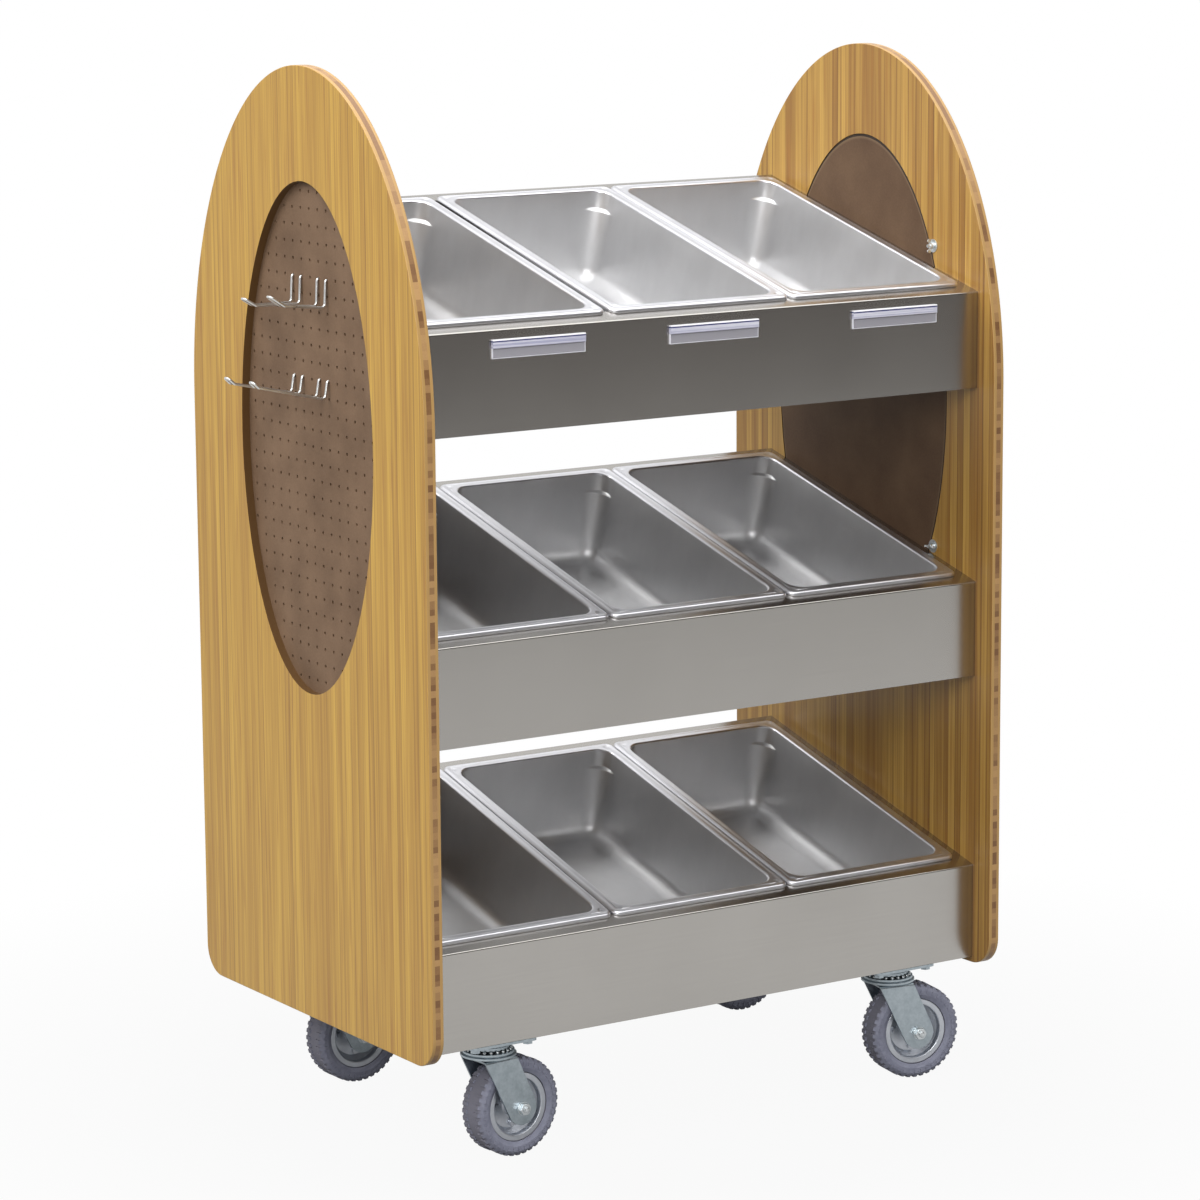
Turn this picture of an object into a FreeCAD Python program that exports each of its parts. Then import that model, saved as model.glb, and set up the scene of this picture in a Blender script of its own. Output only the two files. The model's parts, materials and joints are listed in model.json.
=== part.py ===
"""Merchandising cart: three inclined stainless trays of food pans between two bamboo side panels.

Millimetres. X runs to the right, Y to the back and Z up, with the origin on the floor under the
middle of the cart. Each tray is a front apron, a rear rail and two side ledges in one inclined
plane, and the pans hang on that plane by their rims.
"""
import FreeCAD, Part
import math
import os
import Sketcher

doc = FreeCAD.newDocument("MerchandisingCart")

# Driving dimensions
SIZES = {
    # Side panels and the oval openings in them
    "cart_width": 1050,
    "panel_thickness": 19,
    "panel_depth": 700,
    "panel_height": 1450,
    "panel_drop": 10,
    "arch_height": 516,
    "panel_corner_radius": 45,
    "panel_edge_round": 1.2,
    "opening_half_depth": 199,
    "opening_half_height": 386,
    "opening_centre_height": 894,
    "opening_from_apron": 303,
    # Discs in the openings, with the peg holes of the left one
    "disc_lip": 26,
    "disc_thickness": 6,
    "disc_clearance": 0.5,
    "disc_edge_ease": 1.5,
    "peg_pitch": 25.4,
    "peg_hole": 5.2,
    "peg_margin": 4.5,
    "peg_offset_depth": 1.5,
    "peg_offset_height": 14.3,
    # Studs, washers and wing nuts round the discs
    "upper_stud_above_ledge": 32.2,
    "lower_stud_above_ledge": 12.5,
    "stud_margin": 7.5,
    "stud_diameter": 5,
    "stud_depth": 12,
    "stud_reach": 11.5,
    "washer_diameter": 21,
    "washer_thickness": 1.2,
    "wing_boss_radius": 5,
    "wing_boss_height": 6,
    "wing_span": 22,
    "wing_height": 10.5,
    "wing_thickness": 2.2,
    "wing_root": 3.5,
    "wing_low": 5.2,
    "wing_shoulder": 7.3,
    "wing_tip_radius": 4.4,
    "wing_foot": 1,
    "wing_draft": 6,
    "thread_clearance": 0.05,
    # Peg hooks
    "hook_wire": 4,
    "hook_hole_bend": 3.2,
    "hook_bend": 6,
    "hook_tail": 4.6,
    "hook_tail_clearance": 1,
    "hook_board_clearance": 0.3,
    "upper_hook_drop": 41,
    "upper_hook_lean": 2,
    "upper_hook_reach": 90,
    "upper_hook_slope": 1,
    "upper_hook_tip_length": 25,
    "upper_hook_tip_rise": 16,
    "lower_hook_drop": 27,
    "lower_hook_lean": 4.5,
    "lower_hook_reach": 121,
    "lower_hook_slope": 23,
    "lower_hook_tip_length": 7,
    "lower_hook_tip_rise": 9,
    # Trays
    "tray_spacing": 458,
    "tray_depth": 558,
    "apron_height": 151,
    "apron_setback": 42,
    "rear_rail_height": 150,
    "sheet": 1.5,
    "fold_radius": 3,
    "hem_height": 10,
    "front_ledge": 37,
    "rear_ledge": 32,
    "side_ledge": 22,
    "ledge_flange": 12,
    "tab_depth": 28,
    "tab_height": 80,
    "tab_clearance": 8,
    "tab_screw_inset": 20,
    "rear_tab_drop": 20,
    "screw_diameter": 4.8,
    "screw_depth": 13,
    "screw_head_radius": 4.5,
    "screw_head_top_radius": 3.2,
    "screw_head_height": 3,
    "pilot_clearance": 1,
    # Base plate under the bottom tray
    "base_sheet": 2.5,
    "base_depth": 577,
    "base_flange": 40,
    "base_screw_inset": 115,
    # Food pans
    "pan_tilt": 15,
    "pan_width": 323.85,
    "pan_length": 527.05,
    "pan_depth": 150,
    "pan_rim": 18,
    "pan_wall": 1,
    "pan_lip": 6,
    "pan_rim_corner": 14,
    "pan_upper_corner": 22,
    "pan_lower_corner": 42,
    "pan_shoulder": 34,
    "pan_draft": 4,
    "pan_bottom_radius": 20,
    "pan_mouth_radius": 2,
    "pan_edge_radius": 2.5,
    "pan_gap": 2.5,
    "pan_front_margin": 25,
    "pan_seat_gap": 0.3,
    "top_row_shift": 2,
    "top_left_pan_slack": 7,
    # Label holders on the top apron
    "label_length": 160,
    "label_height": 28,
    "label_drop": 14,
    "label_wall": 1,
    "label_band_depth": 5,
    "label_band_height": 13,
    "label_flap_gap": 1.2,
    "left_label_centre": -305,
    "middle_label_centre": 5,
    "right_label_centre": 342,
    # Caster plates and their bolts
    "caster_half_spacing": 374,
    "front_caster_from_apron": 50,
    "rear_caster_from_apron": 528,
    "plate_length": 114,
    "plate_width": 102,
    "plate_thickness": 4,
    "plate_corner_radius": 8,
    "plate_bolt_pitch_length": 92,
    "plate_bolt_pitch_width": 76,
    "plate_bolt_diameter": 9,
    "plate_bolt_clearance": 0.4,
    "bolt_head_radius": 8,
    "bolt_head_height": 6,
    "bolt_nut_height": 7,
    "bolt_end": 2,
    # Swivels and forks
    "upper_race_radius": 36,
    "upper_race_height": 12,
    "upper_race_step": 4,
    "swivel_gap": 4,
    "lower_race_radius": 42.5,
    "lower_race_height": 10,
    "race_flare": 10,
    "race_foot": 2,
    "race_band": 3,
    "race_neck_inset": 3,
    "race_neck_step": 2,
    "kingpin_radius": 6,
    "kingpin_head_radius": 10,
    "kingpin_head_height": 5,
    "kingpin_head_chamfer": 2.5,
    "running_clearance": 0.05,
    "kingpin_clearance": 0.3,
    "crown_thickness": 3.5,
    "crown_clearance": 4.1,
    "fork_top_width": 60,
    "fork_foot_radius": 26,
    "fork_sheet": 3,
    "fork_bend_radius": 5,
    "fork_side_clearance": 3.5,
    "front_left_yaw": 5.7,
    "front_right_yaw": -9.5,
    "rear_left_yaw": 1.5,
    "rear_right_yaw": -2,
    # Wheels
    "wheel_radius": 76.2,
    "wheel_trail": 40,
    "tyre_width": 50,
    "tyre_crown_drop": 2.2,
    "tyre_shoulder_drop": 9,
    "tyre_seat_clearance": 0.1,
    "tyre_lip_clearance": 0.6,
    "tyre_lip_overhang": 1,
    "lug_count": 40,
    "lug_width": 6,
    "lug_gap": 16,
    "lug_proud": 1,
    "lug_root": 1,
    "lug_foot": 4,
    "lug_side_depth": 3,
    "lug_shoulder": 6,
    "lug_draft": 1,
    "rim_radius": 53,
    "rim_width": 39.6,
    "rim_barrel_radius": 46,
    "rim_sheet": 2.5,
    "rim_web_thickness": 4,
    "rim_web_radius": 36,
    "rim_bolt_circle": 28,
    "rim_bolt_radius": 5.5,
    "rim_bolt_length": 15,
    "rim_bolt_count": 4,
    "hub_radius": 15,
    "hub_root": 2,
    "hub_end_clearance": 1,
    "bushing_radius": 9,
    "axle_radius": 5,
    "axle_head_radius": 9.8,
    "axle_head_height": 7,
    "axle_nut_height": 9,
    "axle_end": 4,
}

sheet = doc.addObject("Spreadsheet::Sheet", "Sizes")
for row, (alias, value) in enumerate(SIZES.items(), start=1):
    sheet.set(f"A{row}", alias)
    sheet.set(f"B{row}", str(value))
    sheet.setAlias(f"B{row}", alias)
doc.recompute()

# Places that several pieces share, worked out from the sheet
OUTER = "(Sizes.cart_width / 2)"
INNER = "(Sizes.cart_width / 2 - Sizes.panel_thickness)"
WHEEL_TOP = "(2 * Sizes.wheel_radius)"
CROWN_BOTTOM = f"({WHEEL_TOP} + Sizes.crown_clearance)"
CROWN_TOP = f"({CROWN_BOTTOM} + Sizes.crown_thickness)"
LOWER_RACE_TOP = f"({CROWN_TOP} + Sizes.lower_race_height)"
UPPER_RACE_BOTTOM = f"({LOWER_RACE_TOP} + Sizes.swivel_gap)"
PLATE_BOTTOM = f"({UPPER_RACE_BOTTOM} + Sizes.upper_race_height)"
BASE = f"({PLATE_BOTTOM} + Sizes.plate_thickness)"
PANEL_BOTTOM = f"({BASE} - Sizes.panel_drop)"
OVAL_HEIGHT = f"({PANEL_BOTTOM} + Sizes.opening_centre_height)"
APRON = "(Sizes.apron_setback - Sizes.panel_depth / 2)"
OVAL_DEPTH = f"({APRON} + Sizes.opening_from_apron)"
REAR = f"({APRON} + Sizes.tray_depth)"
REAR_TOP = "(Sizes.apron_height + Sizes.tray_depth * tan(Sizes.pan_tilt))"
DECK_LENGTH = "(Sizes.tray_depth / cos(Sizes.pan_tilt))"
BASE_FRONT = f"({APRON} + 2 * Sizes.sheet)"
DISC_HALF_DEPTH = "(Sizes.opening_half_depth + Sizes.disc_lip)"
DISC_HALF_HEIGHT = "(Sizes.opening_half_height + Sizes.disc_lip)"
FORK_GAP = "(Sizes.tyre_width + 2 * Sizes.fork_side_clearance)"
FORK_WIDTH = f"({FORK_GAP} + 2 * Sizes.fork_sheet)"

SIDES = {"left": "-1", "right": "1"}
TIERS = {"bottom": 0, "middle": 1, "top": 2}
COLUMNS = {"left": -1, "centre": 0, "right": 1}
FRONT_CASTER = f"({APRON} + Sizes.front_caster_from_apron)"
REAR_CASTER = f"({APRON} + Sizes.rear_caster_from_apron)"
CASTERS = {
    "front_left": ("-Sizes.caster_half_spacing", FRONT_CASTER),
    "front_right": ("Sizes.caster_half_spacing", FRONT_CASTER),
    "rear_left": ("-Sizes.caster_half_spacing", REAR_CASTER),
    "rear_right": ("Sizes.caster_half_spacing", REAR_CASTER),
}
TOUCH = 0.01
parts = []


def size(expression):
    """Value of an expression in the sheet's sizes."""
    return float(sheet.evalExpression(expression))


def at(x="0", y="0", z="0", turn="rotationz(0)"):
    """Placement expression."""
    return f"placement(vector({x}; {y}; {z}); {turn})"


def sized(kind, name, sizes, place=None):
    """Document object whose properties and place follow the sheet."""
    item = doc.addObject(kind, name)
    for quantity, expression in sizes.items():
        item.setExpression(quantity, expression)
    if place:
        item.setExpression("Placement", place)
    return item


def keep(item, name):
    """Name a finished sub-part."""
    item.Label = name
    parts.append(item)
    return item


def joined(kind, name, members):
    """Fuse or group of several objects."""
    item = doc.addObject(kind, name)
    if kind == "Part::Compound":
        item.Links = members
    else:
        item.Shapes = members
        item.Refine = True
    return item


def cut(name, base, tool):
    """Base with the tool taken out of it."""
    item = doc.addObject("Part::Cut", name)
    item.Base = base
    item.Tool = tool
    item.Refine = True
    return item


def new_body(name, place=None):
    """Empty body at its place."""
    body = doc.addObject("PartDesign::Body", name)
    if place:
        body.setExpression("Placement", place)
    return body


def origin_feature(body, role):
    """One of the body's own planes or axes."""
    return next(item for item in body.Origin.OriginFeatures if item.Role == role)


def new_sketch(body, role, name, offset=None):
    """Empty sketch on one of the body's planes, moved along its normal."""
    sketch = body.newObject("Sketcher::SketchObject", name)
    sketch.AttachmentSupport = (origin_feature(body, role), [""])
    sketch.MapMode = "FlatFace"
    if offset:
        sketch.setExpression("AttachmentOffset.Base.z", offset)
    return sketch


def constrain(sketch, rules):
    """Add constraints, each tied to its expression where it has one."""
    indices = sketch.addConstraint([rule for rule, expression in rules])
    for index, (rule, expression) in zip(indices, rules):
        if expression:
            sketch.setExpression(f"Constraints[{index}]", expression)


def arc_between(start, stop, radius, turns_left):
    """Arc of under a half circle from start to stop, bending to the left or to the right."""
    half = (stop - start) / 2
    rise = max(radius ** 2 - half.Length ** 2, 0) ** 0.5
    normal = FreeCAD.Vector(-half.y, half.x, 0).normalize()
    centre = start + half + normal * (rise if turns_left else -rise)
    ends = (start, stop) if turns_left else (stop, start)
    along_x = FreeCAD.Vector(1, 0, 0)
    angles = []
    for end in ends:
        spoke = end - centre
        angle = spoke.getAngle(along_x)
        angles.append(angle if spoke.y >= 0 else -angle)
    circle = Part.Circle(centre, FreeCAD.Vector(0, 0, 1), radius)
    return Part.ArcOfCircle(circle, angles[0], angles[1])


def add_loop(sketch, corners):
    """Closed loop through corners (u, v), or (u, v, radius, side) where an arc leaves the corner."""
    points = [FreeCAD.Vector(size(corner[0]), size(corner[1]), 0) for corner in corners]
    first = sketch.GeometryCount
    count = len(corners)
    ends = []
    rules = []
    for index, corner in enumerate(corners):
        start = points[index]
        stop = points[(index + 1) % count]
        if len(corner) == 2:
            sketch.addGeometry(Part.LineSegment(start, stop))
            ends.append((1, 2))
            continue
        radius, side = corner[2:]
        sketch.addGeometry(arc_between(start, stop, size(radius), side == "left"))
        ends.append((1, 2) if side == "left" else (2, 1))
        rules.append((Sketcher.Constraint("Radius", first + index, size(radius)), radius))
    for index, corner in enumerate(corners):
        line = first + index
        following = (index + 1) % count
        head = ends[index][0]
        link = Sketcher.Constraint("Coincident", line, ends[index][1], first + following, ends[following][0])
        rules.append((link, None))
        for rule, expression, value in zip(("DistanceX", "DistanceY"), corner, points[index]):
            rules.append((Sketcher.Constraint(rule, -1, 1, line, head, value), expression))
    constrain(sketch, rules)


def add_circle(sketch, u, v, radius):
    """Circle with its centre and radius tied to expressions."""
    centre = FreeCAD.Vector(size(u), size(v), 0)
    index = sketch.addGeometry(Part.Circle(centre, FreeCAD.Vector(0, 0, 1), size(radius)))
    constrain(sketch, [
        (Sketcher.Constraint("Radius", index, size(radius)), radius),
        (Sketcher.Constraint("DistanceX", -1, 1, index, 3, centre.x), u),
        (Sketcher.Constraint("DistanceY", -1, 1, index, 3, centre.y), v),
    ])


def outline(body, role, name, corners, offset=None):
    """Sketch of one closed loop."""
    sketch = new_sketch(body, role, name, offset)
    add_loop(sketch, corners)
    return sketch


def rounded_rectangle(width, length, radius):
    """Corners of a rectangle about the origin, with an arc at each corner."""
    x, y = f"({width}) / 2", f"({length}) / 2"
    inset_x, inset_y = f"({x} - ({radius}))", f"({y} - ({radius}))"
    return [
        (f"-{inset_x}", f"-({y})"), (inset_x, f"-({y})", radius, "left"),
        (x, f"-{inset_y}"), (x, inset_y, radius, "left"),
        (inset_x, y), (f"-{inset_x}", y, radius, "left"),
        (f"-({x})", inset_y), (f"-({x})", f"-{inset_y}", radius, "left"),
    ]


def pad(body, name, sketch, length, reverse=False, both_ways=False, taper=None):
    """Extrude a sketch."""
    item = body.newObject("PartDesign::Pad", name)
    item.Profile = sketch
    item.setExpression("Length", length)
    item.Reversed = reverse
    item.Midplane = both_ways
    if taper:
        item.setExpression("TaperAngle", taper)
    return item


def pocket(body, name, sketch, length=None, reverse=False, taper=None):
    """Cut a sketch to a depth, or both ways through everything."""
    item = body.newObject("PartDesign::Pocket", name)
    item.Profile = sketch
    item.Reversed = reverse
    if length:
        item.setExpression("Length", length)
    else:
        item.Type = "ThroughAll"
        item.Midplane = True
    if taper:
        item.setExpression("TaperAngle", taper)
    return item


def revolve(body, name, sketch, axis):
    """Turn a sketch about one of its own axes."""
    item = body.newObject("PartDesign::Revolution", name)
    item.Profile = sketch
    item.ReferenceAxis = (sketch, [axis])
    item.Angle = 360
    return item


def lies_at(edge, height):
    """True for a level edge at a height of its own body."""
    box = edge.BoundBox
    return abs(box.ZMin - height) < TOUCH and abs(box.ZMax - height) < TOUCH


def edge_round(body, name, radius, chosen):
    """Round the edges that the test chooses."""
    doc.recompute()
    base = body.Tip
    names = [f"Edge{i}" for i, edge in enumerate(base.Shape.Edges, start=1) if chosen(edge)]
    item = body.newObject("PartDesign::Fillet", name)
    item.Base = (base, names)
    item.setExpression("Radius", radius)
    return item


def polar_pattern(body, name, original, role, count):
    """Repeat a feature about one of the body's axes."""
    item = body.newObject("PartDesign::PolarPattern", name)
    item.Originals = [original]
    item.Axis = (origin_feature(body, role), [""])
    item.Angle = 360
    item.setExpression("Occurrences", count)
    body.Tip = item
    return item


def deck(along, below="0"):
    """Point of a tray's section: along the inclined plane from its front edge, and below it."""
    y = f"({APRON} + ({along}) * cos(Sizes.pan_tilt) + ({below}) * sin(Sizes.pan_tilt))"
    z = f"(Sizes.apron_height + ({along}) * sin(Sizes.pan_tilt) - ({below}) * cos(Sizes.pan_tilt))"
    return y, z


def tray_height(tier):
    """Height of a tray's lower edge."""
    return f"({BASE} + {TIERS[tier]} * Sizes.tray_spacing)"


# Places of the screws: y, z above the tray's lower edge
FRONT_TAB_Y = f"({APRON} + Sizes.sheet + Sizes.tab_depth / 2)"
FRONT_TAB_BOTTOM = "(Sizes.base_flange + Sizes.tab_clearance)"
REAR_TAB_Y = f"({REAR} - Sizes.sheet - Sizes.tab_depth / 2)"
REAR_TAB_BOTTOM = f"({REAR_TOP} - Sizes.rear_tab_drop - Sizes.tab_height)"
TAB_RISES = ("Sizes.tab_screw_inset", "(Sizes.tab_height - Sizes.tab_screw_inset)")
FRONT_SCREWS = [(FRONT_TAB_Y, f"({FRONT_TAB_BOTTOM} + {rise})") for rise in TAB_RISES]
REAR_SCREWS = [(REAR_TAB_Y, f"({REAR_TAB_BOTTOM} + {rise})") for rise in TAB_RISES]
BASE_RUNS = ("Sizes.base_screw_inset", "Sizes.base_depth / 2", "(Sizes.base_depth - Sizes.base_screw_inset)")
BASE_SCREWS = [(f"({BASE_FRONT} + {run})", "Sizes.base_flange / 2") for run in BASE_RUNS]


def screw_places():
    """Every tray screw on one side: y, z and the sheet that its head lies on."""
    places = []
    for tier in TIERS:
        for y, z in FRONT_SCREWS + REAR_SCREWS:
            places.append((y, f"({tray_height(tier)} + {z})", "Sizes.sheet"))
    for y, z in BASE_SCREWS:
        places.append((y, f"({BASE} + {z})", "Sizes.base_sheet"))
    return places


def stud_places():
    """Studs just outside one disc's edge: y, z and the plane of the wing nut's ears.

    Each pair is level. The front one is where the disc's edge meets a line just above a side ledge.
    """
    slope = "tan(Sizes.pan_tilt)"
    run = "(Sizes.opening_from_apron - Sizes.stud_margin)"
    square = f"({DISC_HALF_HEIGHT}^2 + ({DISC_HALF_DEPTH} * {slope})^2)"
    places = []
    for level, tier, ears in (("upper", "top", "XZ_Plane"), ("lower", "middle", "YZ_Plane")):
        ledge = f"({TIERS[tier]} * Sizes.tray_spacing + Sizes.apron_height + {run} * {slope})"
        line = f"({ledge} + Sizes.{level}_stud_above_ledge + Sizes.panel_drop - Sizes.opening_centre_height)"
        root = f"({DISC_HALF_HEIGHT} * sqrt({square} - {line}^2))"
        edge = f"({DISC_HALF_DEPTH} * ({slope} * {line} * {DISC_HALF_DEPTH} + {root}) / {square})"
        z = f"({OVAL_HEIGHT} + {line} - {slope} * {edge})"
        for across in (-1, 1):
            places.append((f"({OVAL_DEPTH} + {across} * ({edge} + Sizes.stud_margin))", z, ears))
    return places


# Side panels


def oval(name, half_height, half_depth, x, thickness, z=OVAL_HEIGHT, y=OVAL_DEPTH):
    """Upright elliptical disc that starts at x and runs to the right."""
    turn = "rotationy(-90)"
    ellipse = sized("Part::Ellipse", f"{name}_ellipse",
                    {"MajorRadius": half_height, "MinorRadius": half_depth}, at(x, y, z, turn))
    disc = sized("Part::Extrusion", name, {"LengthFwd": thickness})
    disc.Base = ellipse
    disc.DirMode = "Custom"
    disc.Dir = FreeCAD.Vector(1, 0, 0)
    disc.Solid = True
    return disc


def inward_hole(name, side, y, z, radius, depth):
    """Round hole from a panel's inner face into its thickness."""
    turn = "rotationy(90)" if side == "right" else "rotationy(-90)"
    return sized("Part::Cylinder", name, {"Radius": radius, "Height": depth},
                 at(f"{SIDES[side]} * {INNER}", y, z, turn))


def side_panel(side):
    """Bamboo panel: straight lower part, elliptical top, oval opening with a rabbet on the inside."""
    name = f"{side}_side_panel"
    start = INNER if side == "right" else f"-{OUTER}"
    straight = "(Sizes.panel_height - Sizes.arch_height)"
    half = "(Sizes.panel_depth / 2)"
    corner = "Sizes.panel_corner_radius"
    lower = new_body(f"{name}_lower", at(start, "0", PANEL_BOTTOM))
    shape = outline(lower, "YZ_Plane", f"{name}_outline", [
        (f"-({half} - {corner})", "0"), (f"({half} - {corner})", "0", corner, "left"),
        (half, corner), (half, straight), (f"-{half}", straight), (f"-{half}", corner, corner, "left"),
    ])
    pad(lower, f"{name}_board", shape, "Sizes.panel_thickness")
    spring = f"({PANEL_BOTTOM} + {straight})"
    arch = oval(f"{name}_arch", "Sizes.arch_height", half, start, "Sizes.panel_thickness", spring, "0")
    blank = joined("Part::MultiFuse", f"{name}_blank", [lower, arch])
    opening = oval(f"{name}_opening", "Sizes.opening_half_height", "Sizes.opening_half_depth",
                   start, "Sizes.panel_thickness")
    opened = cut(f"{name}_opened", blank, opening)
    rabbet_start = INNER if side == "right" else f"(-{INNER} - Sizes.disc_thickness)"
    rabbet = oval(f"{name}_rabbet", f"({DISC_HALF_HEIGHT} + Sizes.disc_clearance)",
                  f"({DISC_HALF_DEPTH} + Sizes.disc_clearance)", rabbet_start, "Sizes.disc_thickness")
    stepped = cut(f"{name}_stepped", opened, rabbet)
    holes = []
    pilot_radius = "(Sizes.screw_diameter / 2 + Sizes.thread_clearance)"
    pilot_depth = "(Sizes.screw_depth + Sizes.pilot_clearance)"
    for index, (y, z, plate) in enumerate(screw_places()):
        holes.append(inward_hole(f"{name}_pilot_{index}", side, y, z, pilot_radius, pilot_depth))
    stud_radius = "(Sizes.stud_diameter / 2 + Sizes.thread_clearance)"
    for index, (y, z, ears) in enumerate(stud_places()):
        holes.append(inward_hole(f"{name}_stud_hole_{index}", side, y, z, stud_radius, "Sizes.stud_depth"))
    drilled = cut(f"{name}_drilled", stepped, joined("Part::Compound", f"{name}_holes", holes))
    doc.recompute()
    eased = doc.addObject("Part::Fillet", f"{name}_eased")
    eased.Base = drilled
    faces = (size(start), size(start) + size("Sizes.panel_thickness"))
    reach = size("Sizes.panel_depth") / 2 - 1
    ease = size("Sizes.panel_edge_round")
    eased.Edges = [
        (index, ease, ease) for index, edge in enumerate(drilled.Shape.Edges, start=1)
        if edge.BoundBox.XLength < TOUCH and min(abs(edge.BoundBox.XMin - face) for face in faces) < TOUCH
        and is_outline(edge, reach)
    ]
    return keep(eased, name)


def is_outline(edge, reach):
    """True for an edge of a panel's outer outline."""
    box = edge.BoundBox
    top = size(f"{PANEL_BOTTOM} + Sizes.panel_height") - 1
    bottom = size(PANEL_BOTTOM) + 1
    return box.YMax > reach or box.YMin < -reach or box.ZMax > top or box.ZMin < bottom


for side_name in SIDES:
    side_panel(side_name)

# Discs in the openings


def eased_disc(name, solid, x_face):
    """Disc with the edge of its inner face eased."""
    doc.recompute()
    eased = doc.addObject("Part::Chamfer", f"{name}_eased")
    eased.Base = solid
    ease = size("Sizes.disc_edge_ease")
    reach = size(DISC_HALF_HEIGHT) * 2 - 1
    eased.Edges = [
        (index, ease, ease) for index, edge in enumerate(solid.Shape.Edges, start=1)
        if abs(edge.BoundBox.XMin - x_face) < TOUCH and abs(edge.BoundBox.XMax - x_face) < TOUCH
        and edge.BoundBox.ZLength > reach
    ]
    return keep(eased, name)


def peg_holes():
    """Centres of the peg holes that show in the opening."""
    pitch = size("Sizes.peg_pitch")
    centre_y = size(OVAL_DEPTH)
    centre_z = size(OVAL_HEIGHT)
    half_y = size("Sizes.opening_half_depth - Sizes.peg_margin")
    half_z = size("Sizes.opening_half_height - Sizes.peg_margin")
    columns = int(half_y / pitch) + 2
    rows = int(half_z / pitch) + 2
    centres = []
    for row in range(-rows, rows + 1):
        for column in range(-columns, columns + 1):
            y = size("Sizes.peg_offset_depth") + column * pitch
            z = size("Sizes.peg_offset_height") + row * pitch
            if (y / half_y) ** 2 + (z / half_z) ** 2 < 1:
                centres.append((centre_y + y, centre_z + z))
    return centres


def perforated_disc():
    """Hardboard disc with a square grid of peg holes, as one holed face given its thickness."""
    x = -size(INNER) - size("Sizes.disc_thickness")
    along_x = FreeCAD.Vector(1, 0, 0)
    upright = FreeCAD.Vector(0, 0, 1)
    centre = FreeCAD.Vector(x, size(OVAL_DEPTH), size(OVAL_HEIGHT))
    across = FreeCAD.Vector(0, 1, 0)
    top = centre + upright * size(DISC_HALF_HEIGHT)
    back = centre + across * size(DISC_HALF_DEPTH)
    loops = [Part.Wire(Part.Ellipse(top, back, centre).toShape())]
    for y, z in peg_holes():
        circle = Part.Circle(FreeCAD.Vector(x, y, z), along_x, size("Sizes.peg_hole / 2"))
        loops.append(Part.Wire(circle.toShape()))
    face = Part.makeFace(loops, "Part::FaceMakerBullseye")
    board = doc.addObject("Part::Feature", "perforated_board")
    board.Shape = face.extrude(along_x * size("Sizes.disc_thickness"))
    return eased_disc("perforated_disc", board, -size(INNER))


perforated_disc()
plain_board = oval("plain_board", DISC_HALF_HEIGHT, DISC_HALF_DEPTH, INNER, "Sizes.disc_thickness")
eased_disc("plain_disc", plain_board, size(INNER))

# Studs, washers and wing nuts


def stud_turn(side):
    """Turn that points a piece's own Z out of the panel, into the cart."""
    return "rotationy(-90)" if side == "right" else "rotationy(90)"


def wing_nut(name, side, y, z, ears_plane):
    """Wing nut on its washer: a tapered boss with two ears, bored for the stud."""
    inward = f"{SIDES[side]} * ({INNER} - Sizes.washer_thickness)"
    body = new_body(name, at(inward, y, z, stud_turn(side)))
    base = new_sketch(body, "XY_Plane", f"{name}_base")
    add_circle(base, "0", "0", "Sizes.wing_boss_radius")
    pad(body, f"{name}_boss", base, "Sizes.wing_boss_height", taper="-Sizes.wing_draft")
    tip, root, shoulder = "(Sizes.wing_span / 2)", "Sizes.wing_root", "Sizes.wing_shoulder"
    high, low, foot = "Sizes.wing_height", "Sizes.wing_low", "Sizes.wing_foot"
    bend = "Sizes.wing_tip_radius"
    ears = outline(body, ears_plane, f"{name}_ears", [
        (f"-{root}", foot), (root, foot), (tip, low, bend, "left"), (shoulder, high),
        (root, low), (f"-{root}", low), (f"-{shoulder}", high, bend, "left"), (f"-{tip}", low),
    ])
    pad(body, f"{name}_wings", ears, "Sizes.wing_thickness", both_ways=True)
    bore = new_sketch(body, "XY_Plane", f"{name}_bore")
    add_circle(bore, "0", "0", "(Sizes.stud_diameter / 2 + Sizes.thread_clearance)")
    pocket(body, f"{name}_thread", bore)
    return body


def washer(name, side, y, z, ears_plane):
    """Flat washer that overlaps the disc's edge."""
    inward = f"{SIDES[side]} * {INNER}"
    place = at(inward, y, z, stud_turn(side))
    blank = sized("Part::Cylinder", f"{name}_blank",
                  {"Radius": "Sizes.washer_diameter / 2", "Height": "Sizes.washer_thickness"}, place)
    bore = sized("Part::Cylinder", f"{name}_bore",
                 {"Radius": "Sizes.stud_diameter / 2 + 2 * Sizes.thread_clearance",
                  "Height": "Sizes.washer_thickness"}, place)
    return cut(name, blank, bore)


def stud(name, side, y, z, ears_plane):
    """Threaded stud from inside the panel to past its wing nut."""
    buried = f"{SIDES[side]} * ({INNER} + Sizes.stud_depth)"
    return sized("Part::Cylinder", name,
                 {"Radius": "Sizes.stud_diameter / 2", "Height": "Sizes.stud_depth + Sizes.stud_reach"},
                 at(buried, y, z, stud_turn(side)))


for group, maker in (("disc_studs", stud), ("disc_washers", washer), ("disc_wing_nuts", wing_nut)):
    members = []
    for side_name in SIDES:
        for number, stud_place in enumerate(stud_places()):
            members.append(maker(f"{group}_{side_name}_{number}", side_name, *stud_place))
    keep(joined("Part::Compound", group, members), group)

# Peg hooks


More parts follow.
